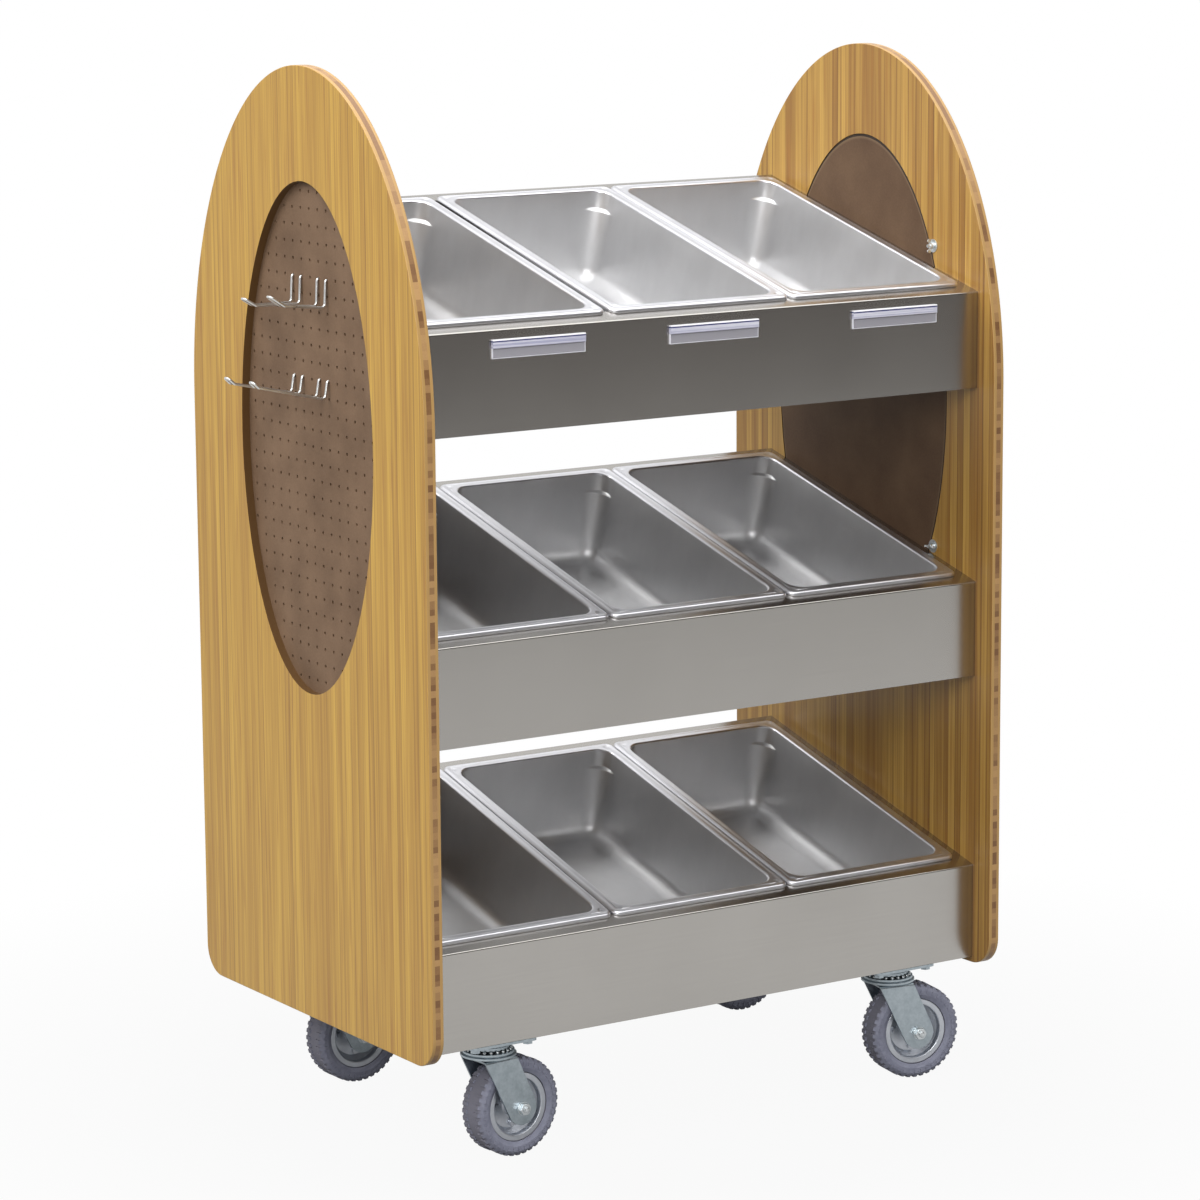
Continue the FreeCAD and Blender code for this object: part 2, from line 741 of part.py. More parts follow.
def bent_wire(points, bends, radius):
    """Round wire along straight runs, with a tangent arc of the given bend at each inner point."""
    edges = []
    start = points[0]
    for before, corner, after, bend in zip(points, points[1:], points[2:], bends):
        into = (before - corner).normalize()
        out = (after - corner).normalize()
        half_angle = into.getAngle(out) / 2
        tangent = bend / math.tan(half_angle)
        middle = (into + out).normalize()
        centre = corner + middle * (bend / math.sin(half_angle))
        first = corner + into * tangent
        last = corner + out * tangent
        edges.append(Part.LineSegment(start, first).toShape())
        edges.append(Part.Arc(first, centre - middle * bend, last).toShape())
        start = last
    edges.append(Part.LineSegment(start, points[-1]).toShape())
    path = Part.Wire(edges)
    circle = Part.Circle(points[0], points[1] - points[0], radius)
    return path.makePipe(Part.Face(Part.Wire(circle.toShape())))


def free_row(row, column):
    """The given row of peg holes, or the highest one whose hook tails stay under the top side ledges."""
    run = f"(Sizes.opening_from_apron + Sizes.peg_offset_depth + {column} * Sizes.peg_pitch)"
    low_run = f"({run} - Sizes.hook_wire / 2)"
    ledge = f"({tray_height('top')} + Sizes.apron_height + {low_run} * tan(Sizes.pan_tilt))"
    tail_top = f"({ledge} - Sizes.sheet / cos(Sizes.pan_tilt) - Sizes.hook_tail_clearance)"
    room = size(f"{tail_top} - Sizes.hook_tail - {OVAL_HEIGHT} - Sizes.peg_offset_height")
    return min(row, math.floor(room / size("Sizes.peg_pitch")))


def peg_hook(name, column, row, level):
    """Double-wire hook: one wire in through a hole, down, out along a prong, across and back."""
    radius = size("Sizes.hook_wire / 2")
    inner_face = -size(INNER)
    outer_face = inner_face - size("Sizes.disc_thickness")
    tail_x = inner_face + size("Sizes.hook_tail")
    leg_x = outer_face - radius - size("Sizes.hook_board_clearance")
    foot_x = leg_x - size(f"Sizes.{level}_hook_lean")
    tip_x = leg_x - size(f"Sizes.{level}_hook_reach")
    prong_x = tip_x + size(f"Sizes.{level}_hook_tip_length")
    hole_z = size(f"{OVAL_HEIGHT} + Sizes.peg_offset_height + {row} * Sizes.peg_pitch")
    foot_z = hole_z - size(f"Sizes.{level}_hook_drop")
    prong_z = foot_z + size(f"Sizes.{level}_hook_slope")
    tip_z = prong_z + size(f"Sizes.{level}_hook_tip_rise")
    side_view = [
        (tail_x, hole_z + size("Sizes.hook_tail")), (tail_x, hole_z), (leg_x, hole_z),
        (foot_x, foot_z), (prong_x, prong_z), (tip_x, tip_z),
    ]
    first_y = size(f"{OVAL_DEPTH} + Sizes.peg_offset_depth + {column} * Sizes.peg_pitch")
    second_y = first_y + size("Sizes.peg_pitch")
    points = [FreeCAD.Vector(x, first_y, z) for x, z in side_view]
    points += [FreeCAD.Vector(x, second_y, z) for x, z in reversed(side_view)]
    hole_bend, bend = size("Sizes.hook_hole_bend"), size("Sizes.hook_bend")
    half = [hole_bend, hole_bend, bend, bend, bend]
    hook = doc.addObject("Part::Feature", name)
    hook.Shape = bent_wire(points, half + half[::-1], radius)
    return keep(hook, name)


HOOK_ROWS = {"upper": 9, "lower": 3}
HOOK_COLUMNS = {"front": -2, "rear": 1}
for level_name, peg_row in HOOK_ROWS.items():
    clear_row = free_row(peg_row, HOOK_COLUMNS["front"])
    for place_name, peg_column in HOOK_COLUMNS.items():
        peg_hook(f"{level_name}_{place_name}_hook", peg_column, clear_row, level_name)

# Trays


def screw_holes(body, name, places):
    """Clearance holes through both end tabs."""
    sketch = new_sketch(body, "YZ_Plane", f"{name}_hole_places")
    for y, z in places:
        add_circle(sketch, y, z, "(Sizes.screw_diameter / 2 + 2 * Sizes.thread_clearance)")
    return pocket(body, f"{name}_holes", sketch)


def end_tabs(body, name, near, far, bottom):
    """Tab folded back at each end, flat on the panel."""
    top = f"({bottom} + Sizes.tab_height)"
    sketch = outline(body, "YZ_Plane", f"{name}_tab_outline",
                     [(near, bottom), (far, bottom), (far, top), (near, top)], f"{INNER} - Sizes.sheet")
    tab = pad(body, f"{name}_tab", sketch, "Sizes.sheet")
    mirror = body.newObject("PartDesign::Mirrored", f"{name}_tabs")
    mirror.Originals = [tab]
    mirror.MirrorPlane = (origin_feature(body, "YZ_Plane"), [""])
    body.Tip = mirror


def front_apron(tier):
    """Tall front sheet: hem at the bottom, ledge folded back along the incline, small flange down."""
    name = f"{tier}_front_apron"
    body = new_body(name, at(z=tray_height(tier)))
    half_turn = "tan((90 - Sizes.pan_tilt) / 2)"
    bend, inner_bend = "Sizes.fold_radius", "(Sizes.fold_radius - Sizes.sheet)"
    outside, inside = f"{bend} * {half_turn}", f"{inner_bend} * {half_turn}"
    ledge, flange, gauge = "Sizes.front_ledge", "Sizes.ledge_flange", "Sizes.sheet"
    back = f"({APRON} + {gauge})"
    corner = f"({gauge} * (1 - sin(Sizes.pan_tilt)) / cos(Sizes.pan_tilt))"
    section = outline(body, "YZ_Plane", f"{name}_section", [
        (APRON, "0"),
        (APRON, f"(Sizes.apron_height - {outside})", bend, "right"),
        deck(outside),
        deck(ledge),
        deck(ledge, flange),
        deck(f"{ledge} - {gauge}", flange),
        deck(f"{ledge} - {gauge}", gauge),
        deck(f"{corner} + {inside}", gauge) + (inner_bend, "left"),
        (back, f"({deck(corner, gauge)[1]} - {inside})"),
        (back, "Sizes.hem_height"),
        (BASE_FRONT, "Sizes.hem_height"),
        (BASE_FRONT, "0"),
    ])
    pad(body, f"{name}_sheet", section, f"2 * {INNER}", both_ways=True)
    end_tabs(body, name, back, f"({back} + Sizes.tab_depth)", FRONT_TAB_BOTTOM)
    screw_holes(body, name, FRONT_SCREWS)
    return keep(body, name)


def rear_rail(tier):
    """Rear sheet: ledge in the inclined plane, folded down at the back, with a hem."""
    name = f"{tier}_rear_rail"
    body = new_body(name, at(z=tray_height(tier)))
    half_turn = "tan((90 + Sizes.pan_tilt) / 2)"
    bend, inner_bend = "Sizes.fold_radius", "(Sizes.fold_radius - Sizes.sheet)"
    outside, inside = f"{bend} * {half_turn}", f"{inner_bend} * {half_turn}"
    flange, gauge = "Sizes.ledge_flange", "Sizes.sheet"
    edge = f"({DECK_LENGTH} - Sizes.rear_ledge)"
    bottom = f"({REAR_TOP} - Sizes.rear_rail_height)"
    hem = f"({bottom} + Sizes.hem_height)"
    corner = f"((Sizes.tray_depth - {gauge} - {gauge} * sin(Sizes.pan_tilt)) / cos(Sizes.pan_tilt))"
    front = f"({REAR} - {gauge})"
    section = outline(body, "YZ_Plane", f"{name}_section", [
        deck(edge),
        deck(f"{DECK_LENGTH} - {outside}") + (bend, "right"),
        (REAR, f"({REAR_TOP} - {outside})"),
        (REAR, bottom),
        (f"({REAR} - 2 * {gauge})", bottom),
        (f"({REAR} - 2 * {gauge})", hem),
        (front, hem),
        (front, f"({deck(corner, gauge)[1]} - {inside})", inner_bend, "left"),
        deck(f"{corner} - {inside}", gauge),
        deck(f"{edge} + {gauge}", gauge),
        deck(f"{edge} + {gauge}", flange),
        deck(edge, flange),
    ])
    pad(body, f"{name}_sheet", section, f"2 * {INNER}", both_ways=True)
    end_tabs(body, name, f"({front} - Sizes.tab_depth)", front, REAR_TAB_BOTTOM)
    screw_holes(body, name, REAR_SCREWS)
    return keep(body, name)


def side_ledges(tier):
    """Two flat strips along the panels, in the inclined plane between the front and rear ledges."""
    name = f"{tier}_side_ledges"
    y, z = deck("Sizes.front_ledge", "Sizes.sheet")
    strips = []
    for side, start in (("left", f"-{INNER}"), ("right", f"({INNER} - Sizes.side_ledge)")):
        strips.append(sized("Part::Box", f"{name}_{side}", {
            "Length": "Sizes.side_ledge",
            "Width": f"{DECK_LENGTH} - Sizes.front_ledge - Sizes.rear_ledge",
            "Height": "Sizes.sheet",
        }, at(start, y, f"{tray_height(tier)} + {z}", "rotationx(Sizes.pan_tilt)")))
    return keep(joined("Part::Compound", name, strips), name)


for tier_name in TIERS:
    front_apron(tier_name)
    rear_rail(tier_name)
    side_ledges(tier_name)


def tray_screw(name, side, y, z, plate):
    """Pan-head screw through a tab into the panel."""
    turn = "rotationy(90)" if side == "right" else "rotationy(-90)"
    seat = at(f"{SIDES[side]} * ({INNER} - {plate})", y, z, turn)
    inside = at(f"{SIDES[side]} * ({INNER} - {plate} - Sizes.screw_head_height)", y, z, turn)
    shank = sized("Part::Cylinder", f"{name}_shank",
                  {"Radius": "Sizes.screw_diameter / 2", "Height": f"Sizes.screw_depth + {plate}"}, seat)
    head = sized("Part::Cone", f"{name}_head",
                 {"Radius1": "Sizes.screw_head_top_radius", "Radius2": "Sizes.screw_head_radius",
                  "Height": "Sizes.screw_head_height"}, inside)
    return joined("Part::MultiFuse", name, [head, shank])


screws = []
for side_name in SIDES:
    for number, (screw_y, screw_z, screw_plate) in enumerate(screw_places()):
        screws.append(tray_screw(f"screw_{side_name}_{number}", side_name, screw_y, screw_z, screw_plate))
keep(joined("Part::Compound", "tray_screws", screws), "tray_screws")

# Base plate


def plate_bolt_places():
    """Bolts of every caster plate: x and y."""
    half_length, half_width = "Sizes.plate_bolt_pitch_length / 2", "Sizes.plate_bolt_pitch_width / 2"
    return [
        (f"({x} + {along} * {half_length})", f"({y} + {across} * {half_width})")
        for x, y in CASTERS.values() for along in (-1, 1) for across in (-1, 1)
    ]


def base_plate():
    """Folded sheet under the bottom tray, with a flange up each panel and holes for the casters."""
    body = new_body("base_plate", at(y=BASE_FRONT, z=BASE))
    gauge, flange = "Sizes.base_sheet", "Sizes.base_flange"
    wall = f"({INNER} - {gauge})"
    section = outline(body, "XZ_Plane", "base_section", [
        (f"-{INNER}", "0"), (INNER, "0"), (INNER, flange), (wall, flange),
        (wall, gauge), (f"-{wall}", gauge), (f"-{wall}", flange), (f"-{INNER}", flange),
    ])
    pad(body, "base_sheet", section, "Sizes.base_depth", reverse=True)
    bolts = new_sketch(body, "XY_Plane", "base_bolt_places")
    for x, y in plate_bolt_places():
        add_circle(bolts, x, f"({y} - {BASE_FRONT})",
                   "(Sizes.plate_bolt_diameter / 2 + Sizes.plate_bolt_clearance)")
    pocket(body, "base_bolt_holes", bolts)
    screw_holes(body, "base", [(f"({y} - {BASE_FRONT})", z) for y, z in BASE_SCREWS])
    return keep(body, "base_plate")


base_plate()

# Food pans


def food_pan(tier, column):
    """Drawn pan: turned-down rim, tapered tub, and corners that step in below the stacking shoulder."""
    name = f"{tier}_{column}_pan"
    x = f"({COLUMNS[column]} * (Sizes.pan_width + Sizes.pan_gap))"
    if tier == "top":
        x = f"({x} + Sizes.top_row_shift)"
    if (tier, column) == ("top", "left"):
        x = f"({x} - Sizes.top_left_pan_slack)"
    y, z = deck("Sizes.pan_front_margin + Sizes.pan_length / 2", "-Sizes.pan_seat_gap")
    body = new_body(name, at(x, y, f"{tray_height(tier)} + {z}", "rotationx(Sizes.pan_tilt)"))
    wall, lip, shoulder = "Sizes.pan_wall", "Sizes.pan_lip", "Sizes.pan_shoulder"
    width, length, draft = "Sizes.pan_width", "Sizes.pan_length", "-Sizes.pan_draft"
    rim = outline(body, "XY_Plane", f"{name}_rim_outline",
                  rounded_rectangle(width, length, "Sizes.pan_rim_corner"))
    pad(body, f"{name}_rim", rim, lip)
    hollow = outline(body, "XY_Plane", f"{name}_rim_hollow_outline",
                     rounded_rectangle(f"{width} - 2 * {wall}", f"{length} - 2 * {wall}",
                                       f"Sizes.pan_rim_corner - {wall}"))
    pocket(body, f"{name}_rim_hollow", hollow, f"{lip} - {wall}", reverse=True)

    def mouth(label, corner, inset):
        return outline(body, "XY_Plane", f"{name}_{label}",
                       rounded_rectangle(f"{width} - 2 * Sizes.pan_rim - 2 * {inset}",
                                         f"{length} - 2 * Sizes.pan_rim - 2 * {inset}",
                                         f"{corner} - {inset}"), lip)

    pad(body, f"{name}_tub", mouth("tub_outline", "Sizes.pan_lower_corner", "0"),
        "Sizes.pan_depth", reverse=True, taper=draft)
    pad(body, f"{name}_corners", mouth("corners_outline", "Sizes.pan_upper_corner", "0"),
        shoulder, reverse=True, taper=draft)
    pocket(body, f"{name}_inside", mouth("inside_outline", "Sizes.pan_lower_corner", wall),
           f"Sizes.pan_depth - {wall}", taper=draft)
    floor = size(f"{lip} - Sizes.pan_depth")
    edge_round(body, f"{name}_inside_round", f"Sizes.pan_bottom_radius - {wall}",
               lambda edge: lies_at(edge, floor + size(wall)))
    edge_round(body, f"{name}_tub_round", "Sizes.pan_bottom_radius", lambda edge: lies_at(edge, floor))
    pocket(body, f"{name}_corner_insides", mouth("corner_insides_outline", "Sizes.pan_upper_corner", wall),
           f"{shoulder} - {wall}", taper=draft)
    top = size(lip)
    half = size(f"{width} / 2 - Sizes.pan_rim / 2")
    deep = size(f"{length} / 2 - Sizes.pan_rim / 2")

    def outermost(edge):
        box = edge.BoundBox
        return max(abs(box.XMin), abs(box.XMax)) > half or max(abs(box.YMin), abs(box.YMax)) > deep

    edge_round(body, f"{name}_mouth_round", "Sizes.pan_mouth_radius",
               lambda edge: lies_at(edge, top) and not outermost(edge))
    edge_round(body, f"{name}_rim_round", "Sizes.pan_edge_radius",
               lambda edge: lies_at(edge, top) and outermost(edge))
    return keep(body, name)


for tier_name in TIERS:
    for column_name in COLUMNS:
        food_pan(tier_name, column_name)

# Label holders


def label_holder(column):
    """Clear extruded strip: back on the apron, thick band at the top, thin flap over the card."""
    name = f"{column}_label_holder"
    foot = f"({tray_height('top')} + Sizes.apron_height - Sizes.label_drop - Sizes.label_height)"
    body = new_body(name, at(f"Sizes.{column}_label_centre", APRON, foot))
    wall, high, band = "Sizes.label_wall", "Sizes.label_height", "Sizes.label_band_depth"
    chin = f"({high} - Sizes.label_band_height)"
    flap = f"({wall} + Sizes.label_flap_gap)"
    section = outline(body, "YZ_Plane", f"{name}_section", [
        ("0", "0"), ("0", high), (f"-{band}", high), (f"-{band}", chin),
        (f"-({flap} + {wall})", f"({chin} - {wall})"), (f"-({flap} + {wall})", "0"),
        (f"-{flap}", "0"), (f"-{flap}", chin), (f"-({band} - {wall})", f"({chin} + {wall})"),
        (f"-({band} - {wall})", f"({high} - {wall})"), (f"-{wall}", f"({high} - {wall})"), (f"-{wall}", "0"),
    ])
    pad(body, f"{name}_strip", section, "Sizes.label_length", both_ways=True)
    return keep(body, name)


for column_name in ("left", "middle", "right"):
    label_holder(column_name)

# Casters


def caster_place(corner, turned=True, x="0", z="0"):
    """Place in a caster's own frame, whose axis is the swivel, turned as the caster stands."""
    across, back = CASTERS[corner]
    yaw = f"rotationz(Sizes.{corner}_yaw)" if turned else "rotationz(0)"
    return f"{at(across, back, '0', yaw)} * {at(x, '0', z)}"


def caster_plate(corner):
    """Top plate with four bolt holes and the upper race pressed down from it."""
    name = f"{corner}_caster_plate"
    body = new_body(name, caster_place(corner, False))
    shape = outline(body, "XY_Plane", f"{name}_outline",
                    rounded_rectangle("Sizes.plate_length", "Sizes.plate_width", "Sizes.plate_corner_radius"),
                    PLATE_BOTTOM)
    pad(body, f"{name}_sheet", shape, "Sizes.plate_thickness")
    step = "Sizes.upper_race_step"
    race = outline(body, "XZ_Plane", f"{name}_race_section", [
        ("0", PLATE_BOTTOM), ("Sizes.upper_race_radius", PLATE_BOTTOM),
        ("Sizes.upper_race_radius", f"({PLATE_BOTTOM} - {step})", step, "right"),
        (f"(Sizes.upper_race_radius - {step})", f"({PLATE_BOTTOM} - 2 * {step})"),
        (f"(Sizes.upper_race_radius - {step})", UPPER_RACE_BOTTOM), ("0", UPPER_RACE_BOTTOM),
    ])
    revolve(body, f"{name}_race", race, "V_Axis")
    holes = new_sketch(body, "XY_Plane", f"{name}_hole_places", PLATE_BOTTOM)
    for along in (-1, 1):
        for across in (-1, 1):
            add_circle(holes, f"({along} * Sizes.plate_bolt_pitch_length / 2)",
                       f"({across} * Sizes.plate_bolt_pitch_width / 2)",
                       "(Sizes.plate_bolt_diameter / 2 + Sizes.plate_bolt_clearance)")
    add_circle(holes, "0", "0", "(Sizes.kingpin_radius + Sizes.running_clearance)")
    pocket(body, f"{name}_holes", holes)
    return keep(body, name)


def kingpin(corner):
    """Headed pin that carries the fork under the plate."""
    name = f"{corner}_kingpin"
    body = new_body(name, caster_place(corner, False))
    shank, head = "Sizes.kingpin_radius", "Sizes.kingpin_head_radius"
    seat = f"({CROWN_BOTTOM} - Sizes.kingpin_clearance)"
    foot = f"({seat} - Sizes.kingpin_head_height)"
    section = outline(body, "XZ_Plane", f"{name}_section", [
        ("0", foot), (f"({head} - Sizes.kingpin_head_chamfer)", foot),
        (head, f"({foot} + Sizes.kingpin_head_chamfer)"), (head, seat),
        (shank, seat), (shank, BASE), ("0", BASE),
    ])
    revolve(body, f"{name}_pin", section, "V_Axis")
    return body


def plate_bolt(number, x, y):
    """Hex bolt up through a caster plate and the base plate, with its nut."""
    name = f"plate_bolt_{number}"
    grip = "(Sizes.plate_thickness + Sizes.base_sheet)"
    head = sized("Part::Prism", f"{name}_head",
                 {"Circumradius": "Sizes.bolt_head_radius", "Height": "Sizes.bolt_head_height"},
                 at(x, y, f"{PLATE_BOTTOM} - Sizes.bolt_head_height"))
    shank = sized("Part::Cylinder", f"{name}_shank",
                  {"Radius": "Sizes.plate_bolt_diameter / 2",
                   "Height": f"{grip} + Sizes.bolt_nut_height + Sizes.bolt_end"}, at(x, y, PLATE_BOTTOM))
    nut_place = at(x, y, f"{PLATE_BOTTOM} + {grip}")
    nut_size = {"Circumradius": "Sizes.bolt_head_radius", "Height": "Sizes.bolt_nut_height"}
    nut_blank = sized("Part::Prism", f"{name}_nut_blank", nut_size, nut_place)
    thread = sized("Part::Cylinder", f"{name}_thread",
                   {"Radius": "Sizes.plate_bolt_diameter / 2 + Sizes.thread_clearance",
                    "Height": "Sizes.bolt_nut_height"}, nut_place)
    for prism in (head, nut_blank):
        prism.Polygon = 6
    return [joined("Part::MultiFuse", name, [head, shank]), cut(f"{name}_nut", nut_blank, thread)]


def foot_tangent(top_x, side):
    """Where a fork leg's edge, from its top corner, meets the round foot about the axle."""
    rise = f"({CROWN_TOP} - Sizes.wheel_radius)"
    run = f"({top_x} - Sizes.wheel_trail)"
    spread = f"acos(Sizes.fork_foot_radius / sqrt({rise}^2 + {run}^2))"
    angle = f"(atan2({rise}; {run}) {side} {spread})"
    return (f"(Sizes.wheel_trail + Sizes.fork_foot_radius * cos({angle}))",
            f"(Sizes.wheel_radius + Sizes.fork_foot_radius * sin({angle}))")


def fork(corner):
    """Stamped fork: two slanted legs with round feet, a crown, and the lower race on top."""
    name = f"{corner}_fork"
    body = new_body(name, caster_place(corner))
    half = "(Sizes.fork_top_width / 2)"
    foot = "Sizes.fork_foot_radius"
    legs = outline(body, "XZ_Plane", f"{name}_leg_outline", [
        (f"-{half}", CROWN_TOP),
        foot_tangent(f"-{half}", "+") + (foot, "left"),
        ("Sizes.wheel_trail", f"(Sizes.wheel_radius - {foot})", foot, "left"),
        foot_tangent(half, "-"),
        (half, CROWN_TOP),
    ])
    pad(body, f"{name}_blank", legs, FORK_WIDTH, both_ways=True)
    crown = size(CROWN_TOP)
    side = size(f"{FORK_WIDTH} / 2")
    edge_round(body, f"{name}_bends", "Sizes.fork_bend_radius",
               lambda edge: lies_at(edge, crown) and edge.BoundBox.YLength < TOUCH
               and abs(abs(edge.BoundBox.YMin) - side) < TOUCH)
    gap = f"({FORK_GAP} / 2)"
    slot = outline(body, "YZ_Plane", f"{name}_slot_outline", [
        (f"-{gap}", "0"), (gap, "0"), (gap, CROWN_BOTTOM), (f"-{gap}", CROWN_BOTTOM),
    ])
    pocket(body, f"{name}_slot", slot)
    wide = "Sizes.lower_race_radius"
    neck = f"({wide} - Sizes.race_neck_inset)"
    band_foot = f"({CROWN_TOP} + Sizes.race_foot)"
    band_top = f"({band_foot} + Sizes.race_band)"
    race = outline(body, "XZ_Plane", f"{name}_race_section", [
        ("0", CROWN_TOP), (f"({wide} - Sizes.race_flare)", CROWN_TOP), (wide, band_foot),
        (wide, band_top), (neck, f"({band_top} + Sizes.race_neck_step)"),
        (neck, LOWER_RACE_TOP), ("0", LOWER_RACE_TOP),
    ])
    revolve(body, f"{name}_race", race, "V_Axis")
    bore = new_sketch(body, "XY_Plane", f"{name}_kingpin_place")
    add_circle(bore, "0", "0", "(Sizes.kingpin_radius + Sizes.running_clearance)")
    pocket(body, f"{name}_kingpin_hole", bore)
    cross = new_sketch(body, "XZ_Plane", f"{name}_axle_place")
    running = "(Sizes.axle_radius + Sizes.running_clearance)"
    add_circle(cross, "Sizes.wheel_trail", "Sizes.wheel_radius", running)
    pocket(body, f"{name}_axle_hole", cross)
    return keep(body, name)


def wheel_place(corner):
    """Wheel's own frame: centre of the wheel, axle along Y."""
    return caster_place(corner, True, "Sizes.wheel_trail", "Sizes.wheel_radius")


def axle(corner):
    """Axle bolt through both legs, head at the back and nut at the front."""
    name = f"{corner}_axle"
    half = f"({FORK_WIDTH} / 2)"

    def along(y):
        return f"{wheel_place(corner)} * {at('0', y, '0', 'rotationx(90)')}"

    head = sized("Part::Prism", f"{name}_head",
                 {"Circumradius": "Sizes.axle_head_radius", "Height": "Sizes.axle_head_height"},
                 along(f"{half} + Sizes.axle_head_height"))
    shank = sized("Part::Cylinder", f"{name}_shank",
                  {"Radius": "Sizes.axle_radius",
                   "Height": f"{FORK_WIDTH} + Sizes.axle_nut_height + Sizes.axle_end"}, along(half))
    nut_blank = sized("Part::Prism", f"{name}_nut_blank",
                      {"Circumradius": "Sizes.axle_head_radius", "Height": "Sizes.axle_nut_height"},
                      along(f"-{half}"))
    thread = sized("Part::Cylinder", f"{name}_thread",
                   {"Radius": "Sizes.axle_radius + Sizes.thread_clearance",
                    "Height": "Sizes.axle_nut_height"}, along(f"-{half}"))
    for prism in (head, nut_blank):
        prism.Polygon = 6
    bolt = joined("Part::MultiFuse", f"{name}_bolt", [head, shank])
    return keep(joined("Part::Compound", name, [bolt, cut(f"{name}_nut", nut_blank, thread)]), name)


def mirrored_section(half):
    """Whole section from its right half, listed from the inside outwards; arcs turn the same way."""
    left = []
    for index, corner in enumerate(half):
        arc = half[index - 1][2:] if index else ()
        left.append((f"-({corner[0]})", corner[1]) + tuple(arc))
    return half + left[::-1]


def wheel_rim(corner):
    """Pressed rim: hub, dished web with its bolts, barrel and rounded lips."""
    name = f"{corner}_wheel_rim"
    body = new_body(name, wheel_place(corner))
    hub_end = f"({FORK_GAP} / 2 - Sizes.hub_end_clearance)"
    web, sheet_gauge = "(Sizes.rim_web_thickness / 2)", "Sizes.rim_sheet"
    lip = "(Sizes.rim_width / 2)"
    inside = f"(Sizes.rim_barrel_radius - {sheet_gauge})"
    section = outline(body, "YZ_Plane", f"{name}_section", mirrored_section([
        (hub_end, "Sizes.bushing_radius + Sizes.running_clearance"),
        (hub_end, "Sizes.hub_radius"),
        (f"({web} + Sizes.hub_root)", "Sizes.hub_radius"),
        (web, "Sizes.hub_radius + Sizes.hub_root"),
        (web, "Sizes.rim_web_radius"),
        (f"({lip} / 2)", inside),
        (f"({lip} - {sheet_gauge})", inside, sheet_gauge, "left"),
        (lip, "Sizes.rim_barrel_radius"),
        (lip, f"(Sizes.rim_radius - {sheet_gauge} / 2)", f"({sheet_gauge} / 2)", "left"),
        (f"({lip} - {sheet_gauge} / 2)", "Sizes.rim_radius", f"({sheet_gauge} / 2)", "left"),
        (f"({lip} - {sheet_gauge})", f"(Sizes.rim_radius - {sheet_gauge} / 2)"),
        (f"({lip} - {sheet_gauge})", "Sizes.rim_barrel_radius"),
    ]))
    revolve(body, f"{name}_pressing", section, "H_Axis")
    bolt = new_sketch(body, "XZ_Plane", f"{name}_bolt_place")
    add_circle(bolt, "0", "Sizes.rim_bolt_circle", "Sizes.rim_bolt_radius")
    bolt_pad = pad(body, f"{name}_bolt", bolt, "Sizes.rim_bolt_length", both_ways=True)
    polar_pattern(body, f"{name}_bolts", bolt_pad, "Y_Axis", "Sizes.rim_bolt_count")
    return keep(body, name)


def tyre(corner):
    """Tyre with a row of tread lugs round each shoulder."""
    name = f"{corner}_tyre"
    body = new_body(name, wheel_place(corner))
    bore = "(Sizes.rim_barrel_radius + Sizes.tyre_seat_clearance)"
    bead = "(Sizes.rim_width / 2 - Sizes.rim_sheet - Sizes.tyre_seat_clearance)"
    edge = "(Sizes.rim_radius + Sizes.tyre_lip_clearance)"
    outer, tread = "(Sizes.tyre_width / 2)", "Sizes.wheel_radius"
    side = f"({outer} - Sizes.lug_proud)"
    crown = f"({tread} - Sizes.tyre_crown_drop)"
    shoulder = f"({tread} - Sizes.tyre_shoulder_drop)"
    round_off = f"({crown} - {shoulder})"
    section = outline(body, "YZ_Plane", f"{name}_section", mirrored_section([
        (bead, bore),
        (bead, edge),
        ("(Sizes.rim_width / 2 + Sizes.tyre_lip_overhang)", edge),
        (side, f"(({edge} + {shoulder}) / 2)"),
        (side, shoulder, round_off, "left"),
        (f"({side} - {round_off})", crown),
    ]))
    revolve(body, f"{name}_casing", section, "H_Axis")
    inner = "(Sizes.lug_gap / 2)"
    root, foot = f"({crown} - Sizes.lug_root)", f"({shoulder} - Sizes.lug_foot)"
    lugs = new_sketch(body, "YZ_Plane", f"{name}_lug_section")
    right = [
        (inner, f"-{root}"),
        (f"({outer} - {round_off})", f"-{root}"),
        (f"({outer} - Sizes.lug_side_depth)", f"-{foot}"),
        (outer, f"-{foot}"),
        (outer, f"-({shoulder} + Sizes.lug_root)"),
        (f"({outer} - Sizes.lug_shoulder)", f"-{tread}"),
        (f"({inner} + Sizes.lug_draft)", f"-{tread}"),
    ]
    add_loop(lugs, right)
    add_loop(lugs, [(f"-({u})", v) for u, v in right])
    lug = pad(body, f"{name}_lug", lugs, "Sizes.lug_width", both_ways=True)
    polar_pattern(body, f"{name}_lugs", lug, "Y_Axis", "Sizes.lug_count")
    return keep(body, name)


def wheel_bushing(corner):
    """Plain bearing sleeve in the hub, running on the axle."""
    name = f"{corner}_wheel_bushing"
    length = f"({FORK_GAP} - Sizes.hub_end_clearance)"
    place = f"{wheel_place(corner)} * {at('0', f'{length} / 2', '0', 'rotationx(90)')}"
    sleeve = sized("Part::Cylinder", f"{name}_blank",
                   {"Radius": "Sizes.bushing_radius", "Height": length}, place)
    bore = sized("Part::Cylinder", f"{name}_bore",
                 {"Radius": "Sizes.axle_radius + Sizes.running_clearance", "Height": length}, place)
    return keep(cut(name, sleeve, bore), name)


